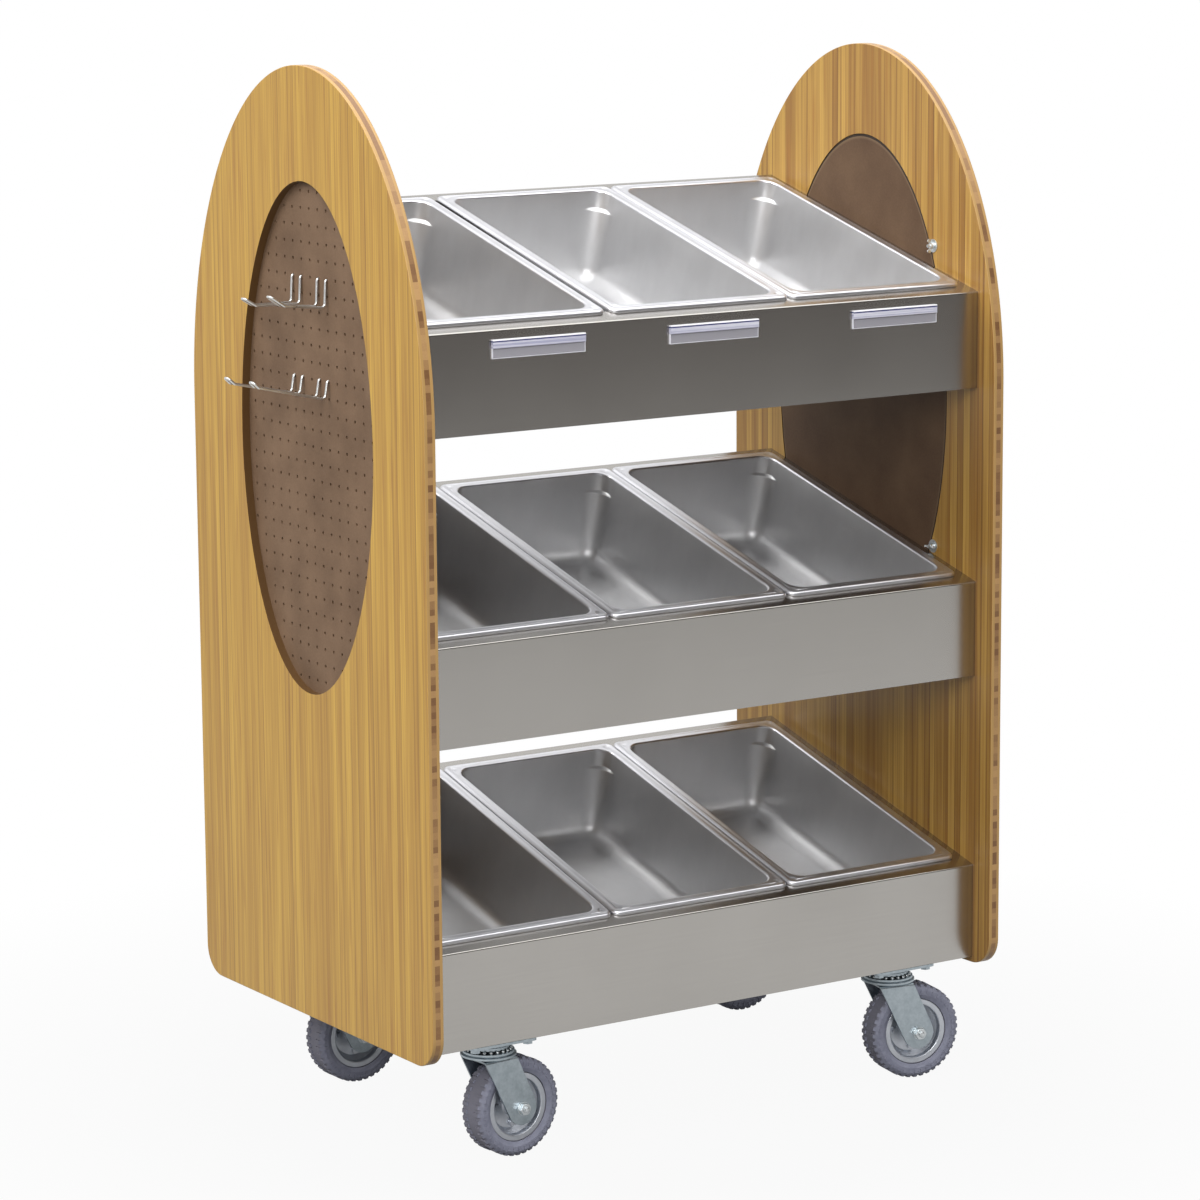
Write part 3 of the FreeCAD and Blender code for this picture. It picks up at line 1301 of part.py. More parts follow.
for corner_name in CASTERS:
    caster_plate(corner_name)
    fork(corner_name)
    axle(corner_name)
    wheel_rim(corner_name)
    tyre(corner_name)
    wheel_bushing(corner_name)
kingpins = [kingpin(corner_name) for corner_name in CASTERS]
keep(joined("Part::Compound", "caster_kingpins", kingpins), "caster_kingpins")
plate_bolts = []
for number, (bolt_x, bolt_y) in enumerate(plate_bolt_places()):
    plate_bolts += plate_bolt(number, bolt_x, bolt_y)
keep(joined("Part::Compound", "caster_plate_bolts", plate_bolts), "caster_plate_bolts")

# Check every object, then write one file for each sub-part
doc.recompute()
for item in doc.Objects:
    if "Invalid" in item.State or "Error" in item.State:
        raise RuntimeError(f"{item.Label} failed: {item.State}")
for item in parts:
    if item.Shape.isNull() or not item.Shape.isValid():
        raise RuntimeError(f"{item.Label} has no valid shape")
os.makedirs("parts", exist_ok=True)
for item in parts:
    item.Shape.exportStep(f"parts/{item.Label}.step")
print(len(parts), "sub-parts,", sum(len(item.Shape.Solids) for item in parts), "solids")
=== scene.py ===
"""Looks of the merchandising cart: a finish for every CAD node, and the details that the solids leave out.

Metres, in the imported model's own frame: X to the right, Y to the back, Z up from the floor. The sizes of
pieces and patterns are written in millimetres and become metres through MM.
"""
import json
import math

import bmesh
import bpy
from mathutils import Matrix, Quaternion, Vector


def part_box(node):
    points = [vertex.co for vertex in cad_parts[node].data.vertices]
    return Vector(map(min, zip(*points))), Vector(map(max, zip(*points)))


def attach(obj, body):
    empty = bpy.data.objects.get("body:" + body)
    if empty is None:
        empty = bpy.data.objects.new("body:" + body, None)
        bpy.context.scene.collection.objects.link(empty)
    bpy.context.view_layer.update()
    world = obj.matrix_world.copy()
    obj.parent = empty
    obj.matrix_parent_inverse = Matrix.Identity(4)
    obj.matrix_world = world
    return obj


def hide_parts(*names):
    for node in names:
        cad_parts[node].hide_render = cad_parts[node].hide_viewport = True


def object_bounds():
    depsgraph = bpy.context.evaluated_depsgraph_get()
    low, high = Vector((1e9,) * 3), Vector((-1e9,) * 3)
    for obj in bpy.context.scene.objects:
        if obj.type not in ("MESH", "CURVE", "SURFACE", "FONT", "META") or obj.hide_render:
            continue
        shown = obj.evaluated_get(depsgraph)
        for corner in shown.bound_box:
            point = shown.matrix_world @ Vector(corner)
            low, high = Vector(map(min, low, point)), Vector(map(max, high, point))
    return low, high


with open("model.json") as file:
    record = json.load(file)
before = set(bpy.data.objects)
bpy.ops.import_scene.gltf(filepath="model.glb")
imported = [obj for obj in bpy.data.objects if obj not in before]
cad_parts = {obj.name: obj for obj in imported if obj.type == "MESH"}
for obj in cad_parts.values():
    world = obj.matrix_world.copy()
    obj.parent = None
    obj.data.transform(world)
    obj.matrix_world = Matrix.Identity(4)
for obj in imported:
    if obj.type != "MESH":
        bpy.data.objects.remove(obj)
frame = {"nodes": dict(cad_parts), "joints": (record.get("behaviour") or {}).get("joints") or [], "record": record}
cad_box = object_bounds()

MM = 0.001
NODES = frame["nodes"]
TIERS = ("bottom", "middle", "top")
COLUMNS = ("left", "centre", "right")
CORNERS = ("front_left", "front_right", "rear_left", "rear_right")
LABELS = ("left", "middle", "right")


def joint_of(child):
    """The joint that carries a body."""
    return next(joint for joint in frame["joints"] if joint["child"] == child)


# Node trees

# Sockets of a colour mix: the share of the second colour, the two colours, and the result
SHARE, FIRST, SECOND, MIXED = 0, 6, 7, 2


def linear(colour):
    """sRGB hex to a linear colour with alpha."""
    channels = [int(colour[start:start + 2], 16) / 255 for start in (1, 3, 5)]
    lit = [c / 12.92 if c <= 0.04045 else ((c + 0.055) / 1.055) ** 2.4 for c in channels]
    return (*lit, 1.0)


def add(tree, kind, inputs=None, **settings):
    """New node: settings are its own properties, inputs are values or sockets by name or index."""
    item = tree.nodes.new(kind)
    for name, value in settings.items():
        setattr(item, name, value)
    for key, value in (inputs or {}).items():
        if isinstance(value, bpy.types.NodeSocket):
            tree.links.new(value, item.inputs[key])
        else:
            item.inputs[key].default_value = value
    return item


def start_material(name, inputs):
    """Material with a principled shader, whose plain values are given by the names of its sockets."""
    material = bpy.data.materials.new(name)
    material.use_nodes = True
    tree = material.node_tree
    tree.nodes.clear()
    shader = add(tree, "ShaderNodeBsdfPrincipled", inputs)
    add(tree, "ShaderNodeOutputMaterial", {"Surface": shader.outputs["BSDF"]})
    return material, tree, shader


def per_mm(*sizes):
    """Pattern repeats per metre for a size in millimetres, or for one along each axis."""
    repeats = tuple(1 / (size * MM) for size in sizes)
    return repeats if len(repeats) > 1 else repeats[0]


def oval_reach(tree, place, disc):
    """How far a point lies from the middle of a disc, where 1 is the disc's rim."""
    low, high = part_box(disc)
    half = (high - low) / 2
    from_middle = add(tree, "ShaderNodeVectorMath",
                      {0: place.outputs["Object"], 1: (low + high) / 2}, operation="SUBTRACT")
    shares = add(tree, "ShaderNodeVectorMath",
                 {0: from_middle.outputs[0], 1: (0.0, 1 / half.y, 1 / half.z)}, operation="MULTIPLY")
    reach = add(tree, "ShaderNodeVectorMath", {0: shares.outputs[0]}, operation="LENGTH")
    return reach.outputs["Value"]


# Bamboo plywood

STRIP_MM, BLOCK_MM, CORE_MM, CORE_BLUR_MM, PORE_MM = 16.0, 10.0, 9.0, 0.6, 2.0
# Width, length and weight of the fibre's streaks; the finest are coarser than real fibres so that they show
STREAKS = ((9, 420, 0.5), (2.8, 260, 0.5))
FLECK_WIDTH_MM, FLECK_LENGTH_MM = 5, 140
# Streaks and flecks hardly change through the thickness of a panel
THROUGH_MM = 300


def bamboo_face(tree, place, axes, dark, light, strip_share, joint_share):
    """Colour and tone of a panel's face: uneven upright strips with streaks, flecks and glued joints."""
    strip = add(tree, "ShaderNodeMath", {0: axes.outputs["Y"], 1: per_mm(STRIP_MM)}, operation="MULTIPLY")
    cells = add(tree, "ShaderNodeTexVoronoi",
                {"W": strip.outputs[0], "Scale": 1.0}, voronoi_dimensions="1D")
    cell_tone = add(tree, "ShaderNodeSeparateColor", {0: cells.outputs["Color"]})
    tone = add(tree, "ShaderNodeMath", {0: cell_tone.outputs[0], 1: strip_share}, operation="MULTIPLY")
    for width_mm, length_mm, weight in STREAKS:
        stretch = add(tree, "ShaderNodeMapping",
                      {"Vector": place.outputs["Object"], "Scale": per_mm(THROUGH_MM, width_mm, length_mm)})
        streak = add(tree, "ShaderNodeTexNoise",
                     {"Vector": stretch.outputs[0], "Scale": 1.0, "Detail": 2.0})
        tone = add(tree, "ShaderNodeMath",
                   {0: streak.outputs[0], 1: weight, 2: tone.outputs[0]}, operation="MULTIPLY_ADD")
    share = add(tree, "ShaderNodeMapRange",
                {"Value": tone.outputs[0],
                 "From Min": 0.3 + strip_share / 2, "From Max": 0.72 + strip_share / 2})
    colour = add(tree, "ShaderNodeMix",
                 {SHARE: share.outputs[0], FIRST: linear(dark), SECOND: linear(light)}, data_type="RGBA")
    # Short darker flecks, where a strip was cut close to the culm's skin
    stretch = add(tree, "ShaderNodeMapping",
                  {"Vector": place.outputs["Object"],
                   "Scale": per_mm(THROUGH_MM, FLECK_WIDTH_MM, FLECK_LENGTH_MM)})
    flecks = add(tree, "ShaderNodeTexNoise",
                 {"Vector": stretch.outputs[0], "Scale": 1.0, "Detail": 1.0})
    fleck = add(tree, "ShaderNodeMapRange",
                {"Value": flecks.outputs[0], "From Min": 0.6, "From Max": 0.74, "To Max": 0.6})
    colour = add(tree, "ShaderNodeMix",
                 {SHARE: fleck.outputs[0], FIRST: colour.outputs[MIXED], SECOND: linear("#9C6B2A")},
                 data_type="RGBA")
    # Thin dark joints, which show beside some strips only
    edges = add(tree, "ShaderNodeTexVoronoi", {"W": strip.outputs[0], "Scale": 1.0},
                voronoi_dimensions="1D", feature="DISTANCE_TO_EDGE")
    glued = add(tree, "ShaderNodeMapRange",
                {"Value": cell_tone.outputs[1], "From Min": 0.45, "From Max": 0.75, "To Max": joint_share})
    joint = add(tree, "ShaderNodeMapRange",
                {"Value": edges.outputs["Distance"], "From Max": 0.16,
                 "To Min": glued.outputs[0], "To Max": 0.0})
    colour = add(tree, "ShaderNodeMix",
                 {SHARE: joint.outputs[0], FIRST: colour.outputs[MIXED], SECOND: linear("#71491A")},
                 data_type="RGBA")
    return colour.outputs[MIXED], tone.outputs[0]


def bamboo_edge(tree, place, axes, panel, disc):
    """Colour of a panel's edges: the core's blocks in a row between the outer plies, and painted shade on the wall
    of the oval opening.
    """
    low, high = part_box(panel)
    from_middle = add(tree, "ShaderNodeMath",
                      {0: axes.outputs["X"], 1: (low.x + high.x) / 2}, operation="SUBTRACT")
    core_distance = add(tree, "ShaderNodeMath", {0: from_middle.outputs[0]}, operation="ABSOLUTE")
    in_core = add(tree, "ShaderNodeMapRange",
                  {"Value": core_distance.outputs[0],
                   "From Min": CORE_MM / 2 * MM, "From Max": (CORE_MM / 2 - CORE_BLUR_MM) * MM})
    # A slanting count of the blocks serves the upright edges and the level ones
    along = add(tree, "ShaderNodeMath",
                {0: axes.outputs["Y"], 1: -0.8, 2: axes.outputs["Z"]}, operation="MULTIPLY_ADD")
    block = add(tree, "ShaderNodeMath", {0: along.outputs[0], 1: per_mm(BLOCK_MM)}, operation="MULTIPLY")
    blocks = add(tree, "ShaderNodeTexVoronoi",
                 {"W": block.outputs[0], "Scale": 1.0, "Randomness": 0.6}, voronoi_dimensions="1D")
    block_tone = add(tree, "ShaderNodeSeparateColor", {0: blocks.outputs["Color"]})
    pores = add(tree, "ShaderNodeTexNoise",
                {"Vector": place.outputs["Object"], "Scale": per_mm(PORE_MM), "Detail": 2.0})
    grain = add(tree, "ShaderNodeMath",
                {0: pores.outputs[0], 1: 0.35, 2: block_tone.outputs[0]}, operation="MULTIPLY_ADD")
    share = add(tree, "ShaderNodeMapRange",
                {"Value": grain.outputs[0], "From Min": 0.2, "From Max": 1.15})
    core = add(tree, "ShaderNodeMix",
               {SHARE: share.outputs[0], FIRST: linear("#7E5734"), SECOND: linear("#C29864")},
               data_type="RGBA")
    colour = add(tree, "ShaderNodeMix",
                 {SHARE: in_core.outputs[0], FIRST: linear("#C0985C"), SECOND: core.outputs[MIXED]},
                 data_type="RGBA")
    # The routed wall of the oval opening is darkened: painted shade in the recess
    recess_shade_reach = 1.2
    clear_of_recess_shade = add(tree, "ShaderNodeMath",
                  {0: oval_reach(tree, place, disc), 1: recess_shade_reach}, operation="GREATER_THAN")
    colour = add(tree, "ShaderNodeMix",
                 {SHARE: clear_of_recess_shade.outputs[0], FIRST: linear("#5C401F"), SECOND: colour.outputs[MIXED]},
                 data_type="RGBA")
    return colour.outputs[MIXED]


def bamboo_plywood(name, panel, disc, **tones):
    """Vertical-grain bamboo ply, sanded and lacquered satin.

    Upright strips of uneven width differ a little in tone and carry long soft streaks, and the
    darker core of end-grain blocks shows along the edges between two pale outer plies.
    """
    material, tree, shader = start_material(
        name, {"Roughness": 0.42, "Coat Weight": 0.15, "Coat Roughness": 0.3})
    place = add(tree, "ShaderNodeTexCoord")
    axes = add(tree, "ShaderNodeSeparateXYZ", {0: place.outputs["Object"]})
    face, tone = bamboo_face(tree, place, axes, **tones)
    edge = bamboo_edge(tree, place, axes, panel, disc)
    facing = add(tree, "ShaderNodeSeparateXYZ", {0: place.outputs["Normal"]})
    sideways = add(tree, "ShaderNodeMath", {0: facing.outputs["X"]}, operation="ABSOLUTE")
    is_face = add(tree, "ShaderNodeMath", {0: sideways.outputs[0], 1: 0.8}, operation="GREATER_THAN")
    colour = add(tree, "ShaderNodeMix",
                 {SHARE: is_face.outputs[0], FIRST: edge, SECOND: face}, data_type="RGBA")
    relief = add(tree, "ShaderNodeBump", {"Height": tone, "Strength": 0.1, "Distance": 0.12 * MM})
    tree.links.new(colour.outputs[MIXED], shader.inputs["Base Color"])
    tree.links.new(relief.outputs[0], shader.inputs["Normal"])
    return material


# Other finishes

def pressed_hardboard(name, disc, dark, light):
    """Tempered hardboard: pressed smooth brown fibre with a fine mottle and a dull sheen.

    A pale band inside the sawn edge is a painted highlight, and a dark line where it meets the panel is a painted
    shadow.
    """
    fibre_mm, cloud_mm, shadow_gap_mm, highlight_band_mm = 3.0, 70, 2.2, 5.0
    low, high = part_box(disc)
    half_depth = (high.y - low.y) / 2
    shadow_gap_start, highlight_band_start = 1 - shadow_gap_mm * MM / half_depth, 1 - highlight_band_mm * MM / half_depth
    material, tree, shader = start_material(name, {"Roughness": 0.62, "Specular IOR Level": 0.35})
    place = add(tree, "ShaderNodeTexCoord")
    fibres = add(tree, "ShaderNodeTexNoise",
                 {"Vector": place.outputs["Object"], "Scale": per_mm(fibre_mm),
                  "Detail": 5.0, "Roughness": 0.65})
    clouds = add(tree, "ShaderNodeTexNoise",
                 {"Vector": place.outputs["Object"], "Scale": per_mm(cloud_mm), "Detail": 2.0})
    tone = add(tree, "ShaderNodeMath",
               {0: fibres.outputs[0], 1: 0.6, 2: clouds.outputs[0]}, operation="MULTIPLY_ADD")
    share = add(tree, "ShaderNodeMapRange",
                {"Value": tone.outputs[0], "From Min": 0.55, "From Max": 1.05})
    colour = add(tree, "ShaderNodeMix",
                 {SHARE: share.outputs[0], FIRST: linear(dark), SECOND: linear(light)}, data_type="RGBA")
    reach = oval_reach(tree, place, disc)
    # Painted highlight: a pale band just inside the disc's edge
    band_highlight = add(tree, "ShaderNodeMapRange",
                {"Value": reach, "From Min": highlight_band_start, "From Max": shadow_gap_start, "To Max": 0.35})
    colour = add(tree, "ShaderNodeMix",
                 {SHARE: band_highlight.outputs[0], FIRST: colour.outputs[MIXED], SECOND: linear("#9A8266")},
                 data_type="RGBA")
    # Painted shadow: a dark line along the disc's edge, where it meets the panel
    gap_shadow = add(tree, "ShaderNodeMath", {0: reach, 1: shadow_gap_start}, operation="GREATER_THAN")
    colour = add(tree, "ShaderNodeMix",
                 {SHARE: gap_shadow.outputs[0], FIRST: colour.outputs[MIXED], SECOND: linear("#2C2016")},
                 data_type="RGBA")
    relief = add(tree, "ShaderNodeBump",
                 {"Height": fibres.outputs[0], "Strength": 0.25, "Distance": 0.2 * MM})
    tree.links.new(colour.outputs[MIXED], shader.inputs["Base Color"])
    tree.links.new(relief.outputs[0], shader.inputs["Normal"])
    return material


def steel_finish(name, dark, light, streak_mm, cloud_mm, roughness, change, relief_mm):
    """Metal whose streaks or mottle follow a stretched noise, in colour, gloss and relief."""
    material, tree, shader = start_material(name, {"Metallic": 1.0})
    place = add(tree, "ShaderNodeTexCoord")
    stretch = add(tree, "ShaderNodeMapping",
                  {"Vector": place.outputs["Object"], "Scale": per_mm(*streak_mm)})
    streaks = add(tree, "ShaderNodeTexNoise",
                  {"Vector": stretch.outputs[0], "Scale": 1.0, "Detail": 4.0})
    clouds = add(tree, "ShaderNodeTexNoise",
                 {"Vector": place.outputs["Object"], "Scale": per_mm(cloud_mm), "Detail": 3.0})
    tone = add(tree, "ShaderNodeMath",
               {0: streaks.outputs[0], 1: 0.6, 2: clouds.outputs[0]}, operation="MULTIPLY_ADD")
    share = add(tree, "ShaderNodeMapRange",
                {"Value": tone.outputs[0], "From Min": 0.55, "From Max": 1.05})
    colour = add(tree, "ShaderNodeMix",
                 {SHARE: share.outputs[0], FIRST: linear(dark), SECOND: linear(light)}, data_type="RGBA")
    gloss = add(tree, "ShaderNodeMapRange",
                {"Value": tone.outputs[0], "From Min": 0.5, "From Max": 1.1,
                 "To Min": roughness - change, "To Max": roughness + change})
    relief = add(tree, "ShaderNodeBump",
                 {"Height": streaks.outputs[0], "Strength": 0.2, "Distance": relief_mm * MM})
    tree.links.new(colour.outputs[MIXED], shader.inputs["Base Color"])
    tree.links.new(gloss.outputs[0], shader.inputs["Roughness"])
    tree.links.new(relief.outputs[0], shader.inputs["Normal"])
    return material


def brushed_stainless():
    """Folded stainless sheet, belt-brushed along its length: faint level streaks and a wide highlight."""
    return steel_finish("stainless sheet, brushed lengthways", "#B2AFAA", "#B8B5B0",
                        streak_mm=(140, 1.2, 1.2), cloud_mm=200,
                        roughness=0.25, change=0.008, relief_mm=0.0008)


def mill_stainless():
    """The base plate as it left the mill: pale and dull, with wide soft clouds."""
    return steel_finish("stainless plate, mill finish", "#BAB8B5", "#CAC8C5",
                        streak_mm=(90, 30, 30), cloud_mm=160,
                        roughness=0.6, change=0.05, relief_mm=0.004)


def drawn_stainless():
    """Deep-drawn stainless pan: a smooth satin skin with very faint clouds where the sheet was stretched."""
    return steel_finish("stainless pan, drawn satin", "#D1D1D2", "#D9D9DA",
                        streak_mm=(25, 25, 60), cloud_mm=90,
                        roughness=0.45, change=0.02, relief_mm=0.003)


def polished_stainless():
    """The pans' rolled rims, burnished by the rolls: the same steel with clearer light and dark lines."""
    return steel_finish("stainless pan rim, burnished", "#D6D6DA", "#E0E0E4",
                        streak_mm=(25, 25, 60), cloud_mm=60,
                        roughness=0.35, change=0.02, relief_mm=0.001)


def zinc_plate():
    """Blue-white zinc plating on pressed steel: cool grey with a soft blotchy spangle."""
    return steel_finish("zinc-plated steel, blue passivate", "#A0ABB1", "#BCC6CC",
                        streak_mm=(4, 4, 4), cloud_mm=14,
                        roughness=0.36, change=0.06, relief_mm=0.03)


def bright_zinc():
    """Fresh zinc on small fasteners: paler than the casters and finer in its mottle."""
    return steel_finish("zinc-plated fasteners, bright", "#D2D8DA", "#E6EAEC",
                        streak_mm=(3, 3, 3), cloud_mm=9,
                        roughness=0.38, change=0.04, relief_mm=0.003)


def rolled_rim():
    """Rolled wheel rims, zinc plated and rubbed bright: pale, with a broad white highlight."""
    return steel_finish("zinc-plated wheel rim, rolled bright", "#C2C6CE", "#D6DAE0",
                        streak_mm=(6, 6, 6), cloud_mm=20,
                        roughness=0.42, change=0.04, relief_mm=0.002)


def bright_plate():
    """Bright-plated wire: smooth, with sharp white glints and faint drawing lines."""
    return steel_finish("wire, bright nickel plate", "#CFD1D1", "#E2E4E4",
                        streak_mm=(1.2, 1.2, 9), cloud_mm=25,
                        roughness=0.3, change=0.03, relief_mm=0.01)


def clear_vinyl():
    """Extruded vinyl label strip: a milky lavender band with fine drawing lines, a painted highlight on its
    round top and painted shade in the seam under it, and a see-through flap whose cut edges carry a painted
    highlight."""
    low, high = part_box("left_label_holder")
    tall, long = (high.z - low.z) / MM, (high.x - low.x) / MM
    chin_mm, seam_mm, top_mm, half_seam_mm = 15.2, 25.2, 26.0, 0.8
    low_edge_mm, end_edge_mm, line_mm = 1.0, 0.9, (600, 1.6, 1.3)
    material, tree, shader = start_material("clear vinyl, extruded", {"IOR": 1.53, "Roughness": 0.25})
    place = add(tree, "ShaderNodeTexCoord")
    axes = add(tree, "ShaderNodeSeparateXYZ", {0: place.outputs["Generated"]})
    across, upward = axes.outputs["X"], axes.outputs["Z"]
    stretch = add(tree, "ShaderNodeMapping",
                  {"Vector": place.outputs["Object"], "Scale": per_mm(*line_mm)})
    lines = add(tree, "ShaderNodeTexNoise", {"Vector": stretch.outputs[0], "Scale": 1.0, "Detail": 1.0})
    share = add(tree, "ShaderNodeMapRange",
                {"Value": lines.outputs[0], "From Min": 0.35, "From Max": 0.65})
    colour = add(tree, "ShaderNodeMix",
                 {SHARE: share.outputs[0], FIRST: linear("#B2B2CE"), SECOND: linear("#ECECF6")},
                 data_type="RGBA")
    # Painted shade in the seam under the round top
    off_seam = add(tree, "ShaderNodeMath", {0: upward, 1: seam_mm / tall}, operation="SUBTRACT")
    off_seam = add(tree, "ShaderNodeMath", {0: off_seam.outputs[0]}, operation="ABSOLUTE")
    seam_shade = add(tree, "ShaderNodeMath",
                  {0: off_seam.outputs[0], 1: half_seam_mm / tall}, operation="LESS_THAN")
    colour = add(tree, "ShaderNodeMix",
                 {SHARE: seam_shade.outputs[0], FIRST: colour.outputs[MIXED], SECOND: linear("#2A2C78")},
                 data_type="RGBA")
    # Painted highlight on the round top
    top_highlight = add(tree, "ShaderNodeMath", {0: upward, 1: top_mm / tall}, operation="GREATER_THAN")
    colour = add(tree, "ShaderNodeMix",
                 {SHARE: top_highlight.outputs[0], FIRST: colour.outputs[MIXED], SECOND: linear("#FAFAFF")},
                 data_type="RGBA")
    # The flap: clear but for its cut edges, which carry a painted highlight
    in_flap = add(tree, "ShaderNodeMath", {0: upward, 1: chin_mm / tall}, operation="LESS_THAN")
    low_edge = add(tree, "ShaderNodeMath", {0: upward, 1: low_edge_mm / tall}, operation="LESS_THAN")
    left_edge = add(tree, "ShaderNodeMath", {0: across, 1: end_edge_mm / long}, operation="LESS_THAN")
    right_edge = add(tree, "ShaderNodeMath",
                     {0: across, 1: 1 - end_edge_mm / long}, operation="GREATER_THAN")
    cut = add(tree, "ShaderNodeMath",
              {0: left_edge.outputs[0], 1: right_edge.outputs[0]}, operation="MAXIMUM")
    cut = add(tree, "ShaderNodeMath", {0: cut.outputs[0], 1: low_edge.outputs[0]}, operation="MAXIMUM")
    pane = add(tree, "ShaderNodeMix",
               {SHARE: cut.outputs[0], FIRST: linear("#CCCAD2"), SECOND: linear("#F4F4FC")},
               data_type="RGBA")
    colour = add(tree, "ShaderNodeMix",
                 {SHARE: in_flap.outputs[0], FIRST: colour.outputs[MIXED], SECOND: pane.outputs[MIXED]},
                 data_type="RGBA")
    clear = add(tree, "ShaderNodeMath", {0: in_flap.outputs[0], 1: cut.outputs[0]}, operation="SUBTRACT")
    cover = add(tree, "ShaderNodeMapRange", {"Value": clear.outputs[0], "To Min": 1.0, "To Max": 0.45})
    tree.links.new(colour.outputs[MIXED], shader.inputs["Base Color"])
    tree.links.new(cover.outputs[0], shader.inputs["Alpha"])
    return material


def grey_rubber(corner):
    """Moulded non-marking grey rubber: matt, with a dusty mottle, bluish side walls and a worn tread."""
    dust_mm, grit_mm = 12, 1.2
    axle = Vector(joint_of(f"{corner}_wheel")["axis"])
    material, tree, shader = start_material(
        f"grey rubber, moulded, {corner.replace('_', ' ')}", {"IOR": 1.52})
    place = add(tree, "ShaderNodeTexCoord")
    dust = add(tree, "ShaderNodeTexNoise",
               {"Vector": place.outputs["Object"], "Scale": per_mm(dust_mm),
                "Detail": 5.0, "Roughness": 0.7})
    share = add(tree, "ShaderNodeMapRange",
                {"Value": dust.outputs[0], "From Min": 0.3, "From Max": 0.7})
    colour = add(tree, "ShaderNodeMix",
                 {SHARE: share.outputs[0], FIRST: linear("#7E8092"), SECOND: linear("#9597A8")},
                 data_type="RGBA")
    sideways = add(tree, "ShaderNodeVectorMath",
                   {0: place.outputs["Normal"], 1: axle}, operation="DOT_PRODUCT")
    sideways = add(tree, "ShaderNodeMath", {0: sideways.outputs["Value"]}, operation="ABSOLUTE")
    worn = add(tree, "ShaderNodeMapRange",
               {"Value": sideways.outputs[0], "From Min": 0.85, "From Max": 0.15})
    colour = add(tree, "ShaderNodeMix",
                 {SHARE: worn.outputs[0], FIRST: colour.outputs[MIXED], SECOND: linear("#7B7A86")},
                 data_type="RGBA")
    gloss = add(tree, "ShaderNodeMapRange",
                {"Value": dust.outputs[0], "From Min": 0.3, "From Max": 0.7,
                 "To Min": 0.58, "To Max": 0.78})
    grit = add(tree, "ShaderNodeTexNoise",
               {"Vector": place.outputs["Object"], "Scale": per_mm(grit_mm), "Detail": 3.0})
    relief = add(tree, "ShaderNodeBump",
                 {"Height": grit.outputs[0], "Strength": 0.2, "Distance": 0.2 * MM})
    tree.links.new(colour.outputs[MIXED], shader.inputs["Base Color"])
    tree.links.new(gloss.outputs[0], shader.inputs["Roughness"])
    tree.links.new(relief.outputs[0], shader.inputs["Normal"])
    return material


def moulded_nylon():
    """Natural nylon bearing: off-white and waxy, with faint moulding clouds."""
    cloud_mm = 6
    material, tree, shader = start_material("natural nylon, moulded", {"IOR": 1.53, "Roughness": 0.4})
    place = add(tree, "ShaderNodeTexCoord")
    clouds = add(tree, "ShaderNodeTexNoise",
                 {"Vector": place.outputs["Object"], "Scale": per_mm(cloud_mm), "Detail": 3.0})
    colour = add(tree, "ShaderNodeMix",
                 {SHARE: clouds.outputs[0], FIRST: linear("#DAD5C6"), SECOND: linear("#EDE9DD")},
                 data_type="RGBA")
    tree.links.new(colour.outputs[MIXED], shader.inputs["Base Color"])
    return material


def finish_nodes():
    """Give each CAD node the finish of its material slot, or one of its own."""
    makers = {
        "stainless_sheet": brushed_stainless, "stainless_pan": drawn_stainless, "zinc_steel": zinc_plate,
        "bright_wire": bright_plate, "clear_plastic": clear_vinyl, "nylon": moulded_nylon,
        "polished_rim": polished_stainless, "bright_zinc": bright_zinc, "rolled_rim": rolled_rim,
    }
    made = {slot: maker() for slot, maker in makers.items()}
    fasteners = made["bright_zinc"]
    own = {
        "left_side_panel": bamboo_plywood(
            "bamboo plywood, satin lacquer, plain sheet", "left_side_panel", "perforated_disc",
            dark="#A0752C", light="#CAA144", strip_share=0.16, joint_share=0.6),
        "right_side_panel": bamboo_plywood(
            "bamboo plywood, satin lacquer, striped sheet", "right_side_panel", "plain_disc",
            dark="#8F652A", light="#BE9649", strip_share=0.34, joint_share=1.0),
        "perforated_disc": pressed_hardboard(
            "tempered hardboard, pressed face", "perforated_disc", "#644D39", "#7A614B"),
        "plain_disc": pressed_hardboard(
            "tempered hardboard, darker face", "plain_disc", "#533D2B", "#654E39"),
        "disc_studs": fasteners, "disc_washers": fasteners, "disc_wing_nuts": fasteners,
        "base_plate": mill_stainless(),
    }
    for corner in CORNERS:
        own[f"{corner}_tyre"] = grey_rubber(corner)
        own[f"{corner}_wheel_rim"] = made["rolled_rim"]
    for entry in frame["record"]["subparts"]:
        node = entry["node"]
        mesh = NODES[node].data
        mesh.materials.clear()
        mesh.materials.append(own.get(node) or made[entry["material_slot"]])
    return made


FINISH = finish_nodes()


# Mesh making

def skin(mesh, rings, cap_first=False, cap_last=False, smooth=True):
    """Join rings of points with faces, and close the first or last ring."""
    rows = [[mesh.verts.new(point) for point in points] for points in rings]
    count = len(rows[0])
    made = []
    for lower, upper in zip(rows, rows[1:]):
        for index in range(count):
            after = (index + 1) % count
            made.append(mesh.faces.new((lower[index], lower[after], upper[after], upper[index])))
    if cap_first:
        made.append(mesh.faces.new(rows[0][::-1]))
    if cap_last:
        made.append(mesh.faces.new(rows[-1]))
    for face in made:
        face.smooth = smooth


def settle(mesh, name, *finishes):
    """Turn a bmesh into mesh data with its finishes."""
    data = bpy.data.meshes.new(name)
    mesh.to_mesh(data)
    mesh.free()
    for finish in finishes:
        data.materials.append(FINISH[finish])
    return data


def enter(piece, body, replaced=()):
    """Bring a piece, which already carries its finish, into the scene: it rides a body and may stand for CAD
    nodes.
    """
    bpy.context.scene.collection.objects.link(piece)
    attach(piece, body)
    if replaced:
        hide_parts(*replaced)


